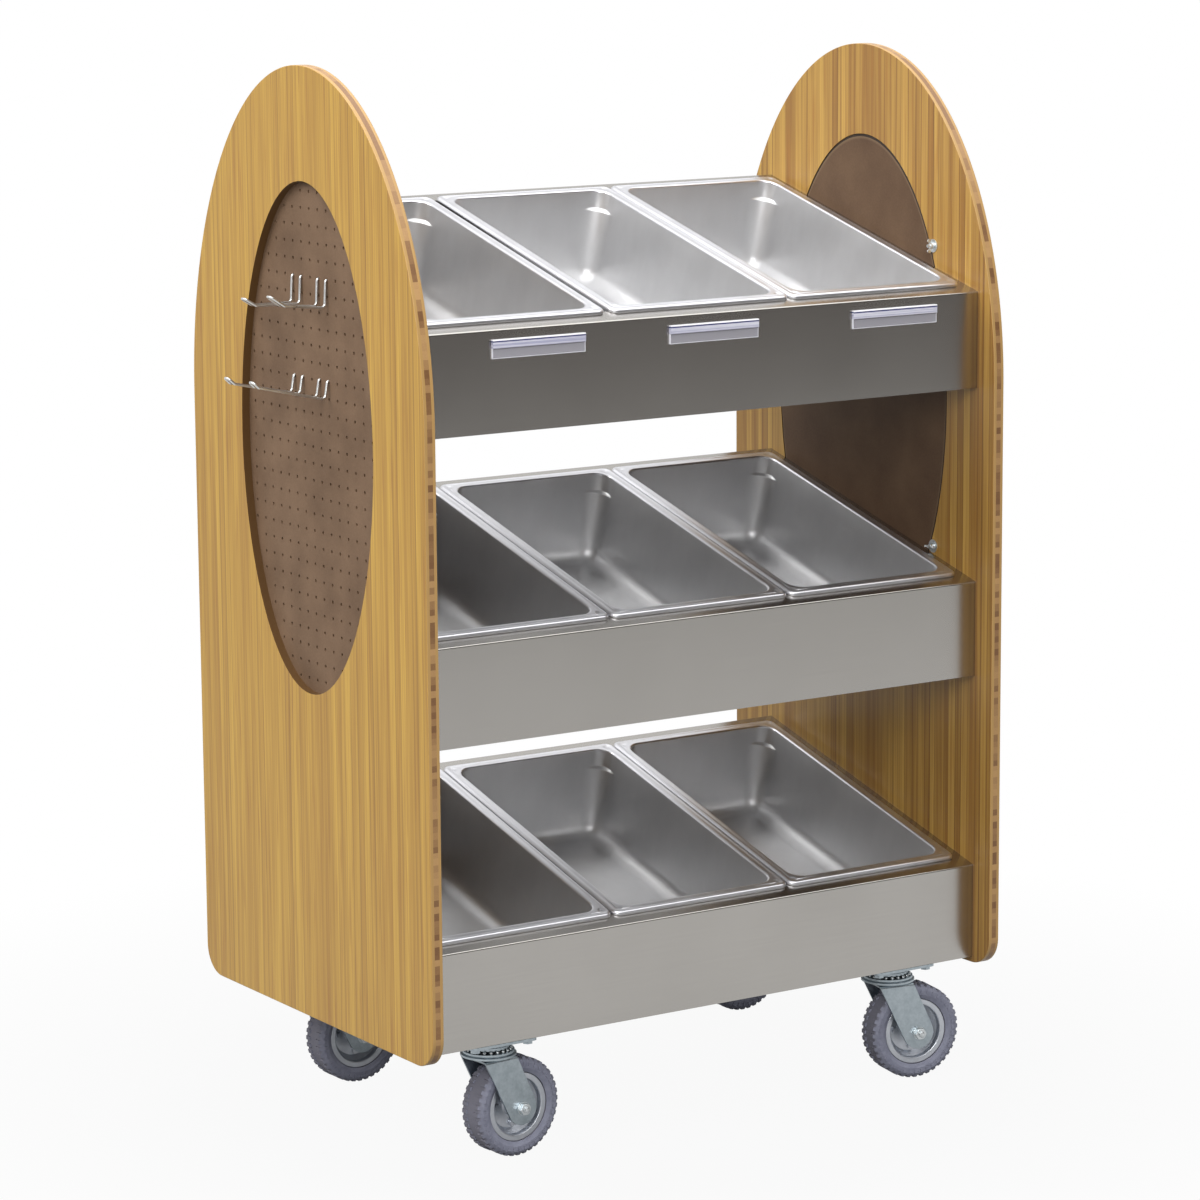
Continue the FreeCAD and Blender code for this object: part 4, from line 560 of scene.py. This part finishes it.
def spun(matrix, reach, turn, height):
    """Point of a turned piece: reach from its axis, share of a turn, and height along the axis."""
    angle = 2 * math.pi * turn
    return matrix @ (Vector((reach * math.cos(angle), reach * math.sin(angle), height)) * MM)


def turned(points, steps, matrix):
    """Rings of a turned piece from its section: radius and height, in millimetres."""
    return [[spun(matrix, radius, step / steps, height) for step in range(steps)]
            for radius, height in points]


def threaded(radius, pitch, start, stop, matrix):
    """Rings of a rolled thread: the ridge climbs one pitch in each turn, and the end is chamfered."""
    steps, rows_per_pitch, depth = 24, 4, 0.6 * pitch
    rows = int((stop - start) / pitch * rows_per_pitch)
    rings = []
    for row in range(rows + 1):
        height = start + (stop - start) * row / rows
        circle = []
        for step in range(steps):
            phase = (height / pitch - step / steps) % 1
            ridge = radius - depth * abs(2 * phase - 1)
            reach = min(ridge, radius - depth + (stop - height))
            circle.append(spun(matrix, reach, step / steps, height))
        rings.append(circle)
    return rings


def hexagon(across_flats, low, high, matrix):
    """Rings of a hexagonal nut or head, with its corners chamfered at both ends."""
    steps, rise, chamfer = 48, 0.4, math.tan(math.radians(30))
    apothem = across_flats / 2
    end_circle = apothem * 0.96
    rises = [rise * row for row in range(4)]
    rings = []
    for height in [low + up for up in rises] + [high - down for down in rises[::-1]]:
        limit = end_circle + min(height - low, high - height) / chamfer
        circle = []
        for step in range(steps):
            angle = 2 * math.pi * step / steps
            flat = apothem / math.cos((angle % (math.pi / 3)) - math.pi / 6)
            circle.append(spun(matrix, min(flat, limit), step / steps, height))
        rings.append(circle)
    return rings


# Food pans, as drawn sheet with a rolled rim and stacking corners

PAN_LIP, PAN_ROLL, PAN_RIM, PAN_WALL, PAN_MOUTH_ROUND = 6.0, 4.6, 18.0, 1.0, 3.4
# The shallow line round the rim: inset from the rim's edge, and height
PAN_GROOVE = ((5.4, 0.0), (6.1, -0.2), (7.0, -0.4), (8.2, -0.4), (9.1, -0.2), (9.8, 0.0), (10.4, 0.0))
PAN_RIM_CORNER, PAN_UPPER_CORNER, PAN_LOWER_CORNER = 14.0, 25.0, 38.0
PAN_SHOULDER, PAN_SHOULDER_ROUND, PAN_FLOOR_ROUND = 30.0, 5.5, 27.0
PAN_DRAFT = math.tan(math.radians(4))
PAN_CORNER_STEPS, PAN_STRAIGHT = 18, 52.0
STIFFENER_INSET, STIFFENER_RADIUS, STIFFENER_DEPTH = 14.0, 6.0, 1.5


def ring(half_x, half_y, radius, height):
    """Points round a rectangle with round corners, counter-clockwise from its right side.

    Each straight side has two more points, so that the corners' shading stays in the corners.
    """
    points = []
    clear_x, clear_y = half_x - PAN_STRAIGHT * MM, half_y - PAN_STRAIGHT * MM
    sides = (((clear_x, half_y), (-clear_x, half_y)), ((-half_x, clear_y), (-half_x, -clear_y)),
             ((-clear_x, -half_y), (clear_x, -half_y)), ((half_x, -clear_y), (half_x, clear_y)))
    for quarter, (sign_x, sign_y) in enumerate(((1, 1), (-1, 1), (-1, -1), (1, -1))):
        for step in range(PAN_CORNER_STEPS + 1):
            angle = math.pi / 2 * (quarter + step / PAN_CORNER_STEPS)
            points.append((sign_x * (half_x - radius) + radius * math.cos(angle),
                           sign_y * (half_y - radius) + radius * math.sin(angle), height))
        points += [(x, y, height) for x, y in sides[quarter]]
    return points


def arc_steps(count):
    """Angles of a quarter turn."""
    return [math.pi / 2 * step / count for step in range(count + 1)]


def pan_profile(depth):
    """Section of a pan from the edge of its lip to its floor: inset, height over the rim, corner radius."""
    section = [(0.0, -PAN_LIP, PAN_RIM_CORNER)]
    for angle in arc_steps(6):
        inset = PAN_ROLL * (1 - math.cos(angle))
        section.append((inset, -PAN_ROLL * (1 - math.sin(angle)), PAN_RIM_CORNER - inset))
    for inset, height in PAN_GROOVE:
        section.append((inset, height, PAN_RIM_CORNER - inset))
    # The flat of the rim widens in the corners, from the groove's radius to the mouth's
    flat_start, flat_end, flat_rows = PAN_GROOVE[-1][0], PAN_RIM - PAN_MOUTH_ROUND, 9
    start_radius, end_radius = PAN_RIM_CORNER - flat_start, PAN_UPPER_CORNER + PAN_MOUTH_ROUND
    for row in range(1, flat_rows):
        share = row / flat_rows
        section.append((flat_start + (flat_end - flat_start) * share, 0.0,
                        start_radius + (end_radius - start_radius) * share))
    for angle in arc_steps(6):
        inset = PAN_RIM - PAN_MOUTH_ROUND * (1 - math.sin(angle))
        section.append((inset, -PAN_MOUTH_ROUND * (1 - math.cos(angle)), PAN_UPPER_CORNER + PAN_RIM - inset))
    # Stacking shoulder: the corners widen over a short height
    for share in (0.0, 0.1, 0.3, 0.5, 0.7, 0.9, 1.0):
        height = PAN_SHOULDER + PAN_SHOULDER_ROUND * (share - 0.5)
        eased = 3 * share ** 2 - 2 * share ** 3
        section.append((PAN_RIM + height * PAN_DRAFT, -height,
                        PAN_UPPER_CORNER + (PAN_LOWER_CORNER - PAN_UPPER_CORNER) * eased))
    start = depth - PAN_FLOOR_ROUND
    wall = PAN_RIM + start * PAN_DRAFT
    for angle in arc_steps(8):
        inset = wall + PAN_FLOOR_ROUND * (1 - math.cos(angle))
        section.append((inset, -start - PAN_FLOOR_ROUND * math.sin(angle),
                        PAN_LOWER_CORNER - (inset - PAN_RIM)))
    return section


def stiffen(mesh, half_x, half_y):
    """Press a shallow round dimple into the flat of each rim corner."""
    centre = Vector((half_x, half_y)) - Vector((STIFFENER_INSET, STIFFENER_INSET)) * MM
    for vertex in mesh.verts:
        if vertex.co.z < -PAN_MOUTH_ROUND * MM / 2:
            continue
        spot = Vector((abs(vertex.co.x), abs(vertex.co.y))) - centre
        share = spot.length / (STIFFENER_RADIUS * MM)
        if share < 1:
            vertex.co.z -= STIFFENER_DEPTH * MM * (1 - share ** 4)


def pan_frame(node):
    """A pan's own axes, with Z along its lift, and its lowest and highest corners in them."""
    upward = Vector(joint_of(node)["axis"]).normalized()
    sideways = Vector((1, 0, 0))
    axes = Matrix((sideways, upward.cross(sideways), upward)).transposed()
    points = [axes.transposed() @ vertex.co for vertex in NODES[node].data.vertices]
    low = Vector([min(point[axis] for point in points) for axis in range(3)])
    high = Vector([max(point[axis] for point in points) for axis in range(3)])
    return axes, low, high


def pan_mesh(half_x, half_y, depth):
    """One sheet from the lip over the rim and down to the floor, with the rim in its own finish."""
    mesh = bmesh.new()
    rings = [ring(half_x - inset * MM, half_y - inset * MM, radius * MM, height * MM)
             for inset, height, radius in pan_profile(depth / MM - PAN_WALL)]
    skin(mesh, rings, cap_last=True)
    for face in mesh.faces:
        face.material_index = 1 if face.calc_center_median().z > -PAN_LIP * MM else 0
    stiffen(mesh, half_x, half_y)
    return settle(mesh, "drawn_pan", "stainless_pan", "polished_rim")


def food_pans():
    """Nine pans from one mesh, each in its own node's place."""
    shared = None
    for tier in TIERS:
        for column in COLUMNS:
            node = f"{tier}_{column}_pan"
            axes, low, high = pan_frame(node)
            if shared is None:
                shared = pan_mesh((high.x - low.x) / 2, (high.y - low.y) / 2, high.z - low.z)
            pan = bpy.data.objects.new(f"{node}_drawn", shared)
            centre = Vector(((low.x + high.x) / 2, (low.y + high.y) / 2, high.z))
            pan.matrix_world = Matrix.Translation(axes @ centre) @ axes.to_4x4()
            thickness = pan.modifiers.new("sheet", "SOLIDIFY")
            thickness.thickness = PAN_WALL * MM
            thickness.offset = -1
            enter(pan, node, [node])


food_pans()


# Label strips on the top apron, with their drawn ridges and the seam under the round top

# Heights of the fine grooves that part the ridges of the band
LABEL_GROOVES = (22.9, 20.5, 17.9)


def label_section():
    """Section of a strip: depth before the apron and height, from the back over the band to the flap."""
    deep, groove_deep, groove_half = 5, 4.75, 0.3
    round_top = [(3.6, 28), (4.5, 27.7), (4.9, 27.2), (deep, 26.6)]
    seam = [(deep, 25.7), (4.3, 25.5), (4.3, 24.9), (deep, 24.7)]
    ridges = []
    for height in LABEL_GROOVES:
        ridges += [(deep, height + groove_half), (groove_deep, height), (deep, height - groove_half)]
    chin_and_flap = [(deep, 15.8), (4.6, 15), (3.2, 14), (3.2, 0.3), (2.9, 0), (2.2, 0)]
    hollow = [(2.2, 15), (4, 16), (4, 27), (1, 27), (1, 0)]
    return [(0, 0), (0, 28)] + round_top + seam + ridges + chin_and_flap + hollow


def label_strip(column):
    """One strip, extruded between the ends of its node."""
    node = f"{column}_label_holder"
    low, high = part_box(node)
    mesh = bmesh.new()
    rings = [[(x, high.y - depth * MM, low.z + height * MM) for depth, height in label_section()]
             for x in (low.x, high.x)]
    skin(mesh, rings, True, True, smooth=False)
    bmesh.ops.recalc_face_normals(mesh, faces=mesh.faces)
    name = f"{column}_label_strip"
    strip = bpy.data.objects.new(name, settle(mesh, name, "clear_plastic"))
    enter(strip, "cart", [node])


for label_name in LABELS:
    label_strip(label_name)


# Peg hooks: one wire each, whose two prongs run together towards a narrow bar at the tip

HOOK_RADIUS, HOOK_TAIL, HOOK_STANDOFF, HOOK_BAR = 2.0, 4.6, 12.9, 6.5
# Radii of the bends, from the tail to the bar
HOOK_BENDS = (3.2, 3.2, 6.0, 6.0, 4.5)
# Drop and lean of the legs
HOOK_LEGS = {"upper": (41.0, 2.0), "lower": (27.0, 4.5)}
# Each hook's own prong: its run and slope, and the length and rise of its tip
HOOK_PRONGS = {
    "upper_front_hook": (66.5, 6.0, 22.0, 14.6), "upper_rear_hook": (72.0, 0.5, 18.0, 11.0),
    "lower_front_hook": (112.0, 24.5, 8.5, 8.0), "lower_rear_hook": (111.0, 22.5, 10.0, 8.8),
}


def bent_path(points, radii):
    """Points of a bent wire: straight runs joined by arcs."""
    path = [points[0]]
    for before, corner, after, radius in zip(points, points[1:], points[2:], radii):
        back, ahead = (before - corner).normalized(), (after - corner).normalized()
        half = back.angle(ahead) / 2
        centre = corner + (back + ahead).normalized() * radius / math.sin(half)
        spoke = corner + back * radius / math.tan(half) - centre
        swing = spoke.rotation_difference(corner + ahead * radius / math.tan(half) - centre)
        steps = max(3, round(swing.angle / math.radians(10)))
        path += [centre + Quaternion().slerp(swing, step / steps) @ spoke for step in range(steps + 1)]
    return path + [points[-1]]


def wire_rings(path, radius):
    """Rings of a round wire along a path."""
    steps = 14
    angles = [2 * math.pi * step / steps for step in range(steps)]
    side = (path[1] - path[0]).orthogonal().normalized()
    rings = []
    for before, point, after in zip(path[:1] + path, path, path[1:] + path[-1:]):
        along = (after - before).normalized()
        side = (side - along * side.dot(along)).normalized()
        other = along.cross(side)
        rings.append([point + (side * math.cos(angle) + other * math.sin(angle)) * radius
                      for angle in angles])
    return rings


def peg_hook(node):
    """One hook in its node's holes: tail, leg, prong and half of the bar, and the same back again."""
    low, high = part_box(node)
    drop, lean = HOOK_LEGS[node.split("_")[0]]
    run, slope, tip, rise = HOOK_PRONGS[node]
    middle = (low.y + high.y) / 2
    spread = (high.y - low.y) / 2 - HOOK_RADIUS * MM
    tail_x, hole_z = high.x - HOOK_RADIUS * MM, high.z - HOOK_TAIL * MM
    leg_x = tail_x - HOOK_STANDOFF * MM
    foot_z = hole_z - drop * MM
    narrowing = (spread - HOOK_BAR * MM) / (run + tip)
    half = [
        (tail_x, spread, high.z), (tail_x, spread, hole_z), (leg_x, spread, hole_z),
        (leg_x - lean * MM, spread, foot_z),
        (leg_x - run * MM, spread - narrowing * run, foot_z + slope * MM),
        (leg_x - (run + tip) * MM, HOOK_BAR * MM, foot_z + (slope + rise) * MM),
    ]
    points = [Vector((x, middle - y, z)) for x, y, z in half]
    points += [Vector((x, middle + y, z)) for x, y, z in half[::-1]]
    bends = [bend * MM for bend in HOOK_BENDS + HOOK_BENDS[::-1]]
    mesh = bmesh.new()
    skin(mesh, wire_rings(bent_path(points, bends), HOOK_RADIUS * MM), True, True)
    name = f"{node}_wire"
    wire = bpy.data.objects.new(name, settle(mesh, name, "bright_wire"))
    enter(wire, "cart", [node])


for hook_name in HOOK_PRONGS:
    peg_hook(hook_name)


# Casters: axle bolts with chamfered nuts and threads, and the balls of the swivels

AXLE_RADIUS, AXLE_FLATS, AXLE_NUT, AXLE_HEAD, AXLE_PITCH = 5.0, 17.0, 9.0, 7.0, 1.6
AXLE_END, AXLE_STEPS, THREAD_IN_NUT = 4.0, 24, 1.0
WASHER_RADIUS, WASHER_HEIGHT, WASHER_STEPS = 10.5, 1.6, 32
BALL_RADIUS, BALL_CIRCLE, BALL_COUNT = 2.6, 34.5, 22


def reach_along(node, origin, axis):
    """How far a node reaches along an axis from a point, both ways, in millimetres."""
    spots = [(vertex.co - origin).dot(axis) / MM for vertex in NODES[node].data.vertices]
    return min(spots), max(spots)


def axle_bolt(corner):
    """Bolt through the fork: chamfered head behind, washer, nut and threaded end in front."""
    roll = joint_of(f"{corner}_wheel")
    centre, axis = Vector(roll["pos_m"]), Vector(roll["axis"]).normalized()
    if axis.y > 0:
        axis = -axis
    back, front = reach_along(f"{corner}_axle", centre, axis)
    matrix = Matrix.Translation(centre) @ axis.to_track_quat("Z", "Y").to_matrix().to_4x4()
    shank_start, fork_face = back + AXLE_HEAD, front - AXLE_NUT - AXLE_END
    nut_start, nut_end = fork_face + WASHER_HEIGHT, fork_face + AXLE_NUT
    shank = [(AXLE_RADIUS, shank_start), (AXLE_RADIUS, fork_face)]
    washer = [(AXLE_RADIUS, fork_face), (WASHER_RADIUS, fork_face),
              (WASHER_RADIUS, nut_start), (AXLE_RADIUS, nut_start)]
    mesh = bmesh.new()
    skin(mesh, hexagon(AXLE_FLATS, back, shank_start, matrix), True, True, smooth=False)
    skin(mesh, turned(shank, AXLE_STEPS, matrix))
    skin(mesh, turned(washer, WASHER_STEPS, matrix), smooth=False)
    skin(mesh, hexagon(AXLE_FLATS, nut_start, nut_end, matrix), True, True, smooth=False)
    skin(mesh, threaded(AXLE_RADIUS, AXLE_PITCH, nut_end - THREAD_IN_NUT, front, matrix), cap_last=True)
    name = f"{corner}_axle_bolt"
    bolt = bpy.data.objects.new(name, settle(mesh, name, "bright_zinc"))
    enter(bolt, f"{corner}_caster", [f"{corner}_axle"])


def swivel_balls(corner):
    """Ring of balls between the two races."""
    swivel = joint_of(f"{corner}_caster")
    low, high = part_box(f"{corner}_fork")[1].z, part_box(f"{corner}_caster_plate")[0].z
    centre = Vector((swivel["pos_m"][0], swivel["pos_m"][1], (low + high) / 2))
    mesh = bmesh.new()
    for number in range(BALL_COUNT):
        angle = 2 * math.pi * number / BALL_COUNT
        spot = centre + Vector((math.cos(angle), math.sin(angle), 0)) * BALL_CIRCLE * MM
        bmesh.ops.create_uvsphere(mesh, u_segments=14, v_segments=10, radius=BALL_RADIUS * MM,
                                  matrix=Matrix.Translation(spot))
    for face in mesh.faces:
        face.smooth = True
    name = f"{corner}_swivel_balls"
    balls = bpy.data.objects.new(name, settle(mesh, name, "bright_wire"))
    enter(balls, f"{corner}_caster")


for corner_name in CORNERS:
    axle_bolt(corner_name)
    swivel_balls(corner_name)


# Camera, at the photograph's angle

CAMERA_PLACE = Vector((-3.57369, -5.48667, 1.94272))
CAMERA_YAW, CAMERA_PITCH, CAMERA_ROLL = math.radians(33.0765), math.radians(10.0955), math.radians(-0.4162)
FOCAL_PIXELS, IMAGE_PIXELS, SENSOR_MM = 4229.97, 1200, 36.0


def photo_camera():
    """Camera from the yaw, pitch, roll and focal length of the photograph."""
    ahead = Vector((math.sin(CAMERA_YAW) * math.cos(CAMERA_PITCH),
                    math.cos(CAMERA_YAW) * math.cos(CAMERA_PITCH), -math.sin(CAMERA_PITCH)))
    level = Vector((math.cos(CAMERA_YAW), -math.sin(CAMERA_YAW), 0))
    upright = level.cross(ahead)
    right = level * math.cos(CAMERA_ROLL) + upright * math.sin(CAMERA_ROLL)
    top = upright * math.cos(CAMERA_ROLL) - level * math.sin(CAMERA_ROLL)
    data = bpy.data.cameras.new("camera")
    data.sensor_width = SENSOR_MM
    data.lens = FOCAL_PIXELS / IMAGE_PIXELS * SENSOR_MM
    camera = bpy.data.objects.new("camera", data)
    camera.matrix_world = Matrix((right, top, -ahead)).transposed().to_4x4()
    camera.location = CAMERA_PLACE
    bpy.context.scene.collection.objects.link(camera)
    bpy.context.scene.camera = camera


photo_camera()


# Studio: white paper, soft lamps, and the room that the metal mirrors

FLOOR_HALF_WIDTH, FLOOR_FRONT, FLOOR_BACK = 14.0, -5.75, 24.0
# Place, size and watts
LAMPS = {
    "key_lamp": ((-5.4, 1.2, 6.0), 5.0, 340),
    "top_lamp": ((0.3, -0.8, 5.2), 6.0, 150),
    "front_lamp": ((-3.6, -4.4, 3.0), 2.4, 130),
}


def floor_paper():
    """White paper: the camera sees it nearly white with a faint shadow, and it sends little light up."""
    material = bpy.data.materials.new("white studio paper")
    material.use_nodes = True
    tree = material.node_tree
    tree.nodes.clear()
    path = add(tree, "ShaderNodeLightPath")
    place = add(tree, "ShaderNodeTexCoord")
    reach = add(tree, "ShaderNodeVectorMath", {0: place.outputs["Object"]}, operation="LENGTH")
    whiteness = add(tree, "ShaderNodeMapRange",
                    {"Value": reach.outputs["Value"], "From Min": 0.6, "From Max": 1.6,
                     "To Min": 0.94, "To Max": 1.0})
    seen = add(tree, "ShaderNodeMath",
               {0: path.outputs["Is Camera Ray"], 1: whiteness.outputs[0]}, operation="MULTIPLY")
    mirrored = add(tree, "ShaderNodeMath",
                   {0: path.outputs["Is Glossy Ray"], 1: path.outputs["Is Transmission Ray"]},
                   operation="MAXIMUM")
    # Metal mirrors darker paper near the cart, which shades it
    shaded = add(tree, "ShaderNodeMapRange",
                 {"Value": reach.outputs["Value"], "From Min": 0.25, "From Max": 0.85,
                  "To Min": 0.18, "To Max": 0.82})
    share = add(tree, "ShaderNodeMath",
                {0: mirrored.outputs[0], 1: shaded.outputs[0], 2: seen.outputs[0]},
                operation="MULTIPLY_ADD")
    matt = add(tree, "ShaderNodeBsdfDiffuse", {"Color": linear("#606060")})
    glow = add(tree, "ShaderNodeEmission", {"Color": linear("#FFFFFF"), "Strength": 1.0})
    mixed = add(tree, "ShaderNodeMixShader", {0: share.outputs[0], 1: matt.outputs[0], 2: glow.outputs[0]})
    add(tree, "ShaderNodeOutputMaterial", {"Surface": mixed.outputs[0]})
    return material


def studio_floor():
    """Sheet of paper under the cart, which ends behind the camera."""
    corners = [(-FLOOR_HALF_WIDTH, FLOOR_FRONT, 0), (FLOOR_HALF_WIDTH, FLOOR_FRONT, 0),
               (FLOOR_HALF_WIDTH, FLOOR_BACK, 0), (-FLOOR_HALF_WIDTH, FLOOR_BACK, 0)]
    mesh = bpy.data.meshes.new("studio_floor")
    mesh.from_pydata(corners, [], [(0, 1, 2, 3)])
    mesh.materials.append(floor_paper())
    floor = bpy.data.objects.new("studio_floor", mesh)
    bpy.context.scene.collection.objects.link(floor)


def studio_world():
    """Fill light from above. The camera sees white, and metal sees a bright ceiling, white paper behind and a
    dim room at eye level in front."""
    world = bpy.data.worlds.new("studio")
    bpy.context.scene.world = world
    world.use_nodes = True
    tree = world.node_tree
    tree.nodes.clear()
    path = add(tree, "ShaderNodeLightPath")
    place = add(tree, "ShaderNodeTexCoord")
    axes = add(tree, "ShaderNodeSeparateXYZ", {0: place.outputs["Generated"]})
    upward = axes.outputs["Z"]
    # Light on matt surfaces: more from above and from both sides
    fill = add(tree, "ShaderNodeMapRange",
               {"Value": upward, "From Min": 0.0, "From Max": 1.0, "To Min": 0.16, "To Max": 0.84})
    sideways = add(tree, "ShaderNodeMath", {0: axes.outputs["X"]}, operation="ABSOLUTE")
    side_fill = add(tree, "ShaderNodeMapRange",
                    {"Value": sideways.outputs[0], "From Min": 0.1, "To Max": 0.4})
    fill = add(tree, "ShaderNodeMath", {0: fill.outputs[0], 1: side_fill.outputs[0]}, operation="ADD")
    # The room in the metal: ceiling, dimmer straight overhead, ground, and the paper behind
    ceiling = add(tree, "ShaderNodeMapRange",
                  {"Value": upward, "From Min": 0.3, "From Max": 0.75, "To Min": 0.06, "To Max": 1.35})
    overhead = add(tree, "ShaderNodeMapRange",
                   {"Value": upward, "From Min": 0.78, "From Max": 0.96, "To Min": 1.0, "To Max": 0.6})
    ceiling = add(tree, "ShaderNodeMath",
                  {0: ceiling.outputs[0], 1: overhead.outputs[0]}, operation="MULTIPLY")
    ground = add(tree, "ShaderNodeMapRange",
                 {"Value": upward, "From Min": -0.15, "From Max": -0.35, "To Max": 0.5})
    room = add(tree, "ShaderNodeMath", {0: ceiling.outputs[0], 1: ground.outputs[0]}, operation="ADD")
    behind = add(tree, "ShaderNodeMapRange",
                 {"Value": axes.outputs["Y"], "From Min": -0.3, "From Max": 0.25, "To Max": 0.88})
    mirror = add(tree, "ShaderNodeMath", {0: room.outputs[0], 1: behind.outputs[0]}, operation="MAXIMUM")
    mirrored = add(tree, "ShaderNodeMath",
                   {0: path.outputs["Is Glossy Ray"], 1: path.outputs["Is Transmission Ray"]},
                   operation="MAXIMUM")
    # A plain mix has its two values in sockets 2 and 3
    strength = add(tree, "ShaderNodeMix",
                   {SHARE: mirrored.outputs[0], 2: fill.outputs[0], 3: mirror.outputs[0]})
    strength = add(tree, "ShaderNodeMix",
                   {SHARE: path.outputs["Is Camera Ray"], 2: strength.outputs[0], 3: 1.0})
    # The dim part of the room is warm
    in_room = add(tree, "ShaderNodeMapRange",
                  {"Value": strength.outputs[0], "From Min": 0.5, "From Max": 0.05})
    warmth = add(tree, "ShaderNodeMath",
                 {0: in_room.outputs[0], 1: mirrored.outputs[0]}, operation="MULTIPLY")
    tint = add(tree, "ShaderNodeMix",
               {SHARE: warmth.outputs[0], FIRST: linear("#FFFFFF"), SECOND: linear("#FFE9DC")},
               data_type="RGBA")
    light = add(tree, "ShaderNodeBackground",
                {"Color": tint.outputs[MIXED], "Strength": strength.outputs[0]})
    add(tree, "ShaderNodeOutputWorld", {"Surface": light.outputs[0]})


def soft_lamp(name, place, target, size, watts):
    """Square area lamp turned to a point."""
    data = bpy.data.lights.new(name, "AREA")
    data.size = size
    data.energy = watts
    lamp = bpy.data.objects.new(name, data)
    lamp.location = place
    lamp.rotation_euler = (target - Vector(place)).to_track_quat("-Z", "Y").to_euler()
    bpy.context.scene.collection.objects.link(lamp)


studio_floor()
studio_world()
for lamp_name, (lamp_place, lamp_size, lamp_watts) in LAMPS.items():
    soft_lamp(lamp_name, lamp_place, (cad_box[0] + cad_box[1]) / 2, lamp_size, lamp_watts)

# Close
scene = bpy.context.scene
scene.view_settings.view_transform = "Standard"
bpy.context.view_layer.update()
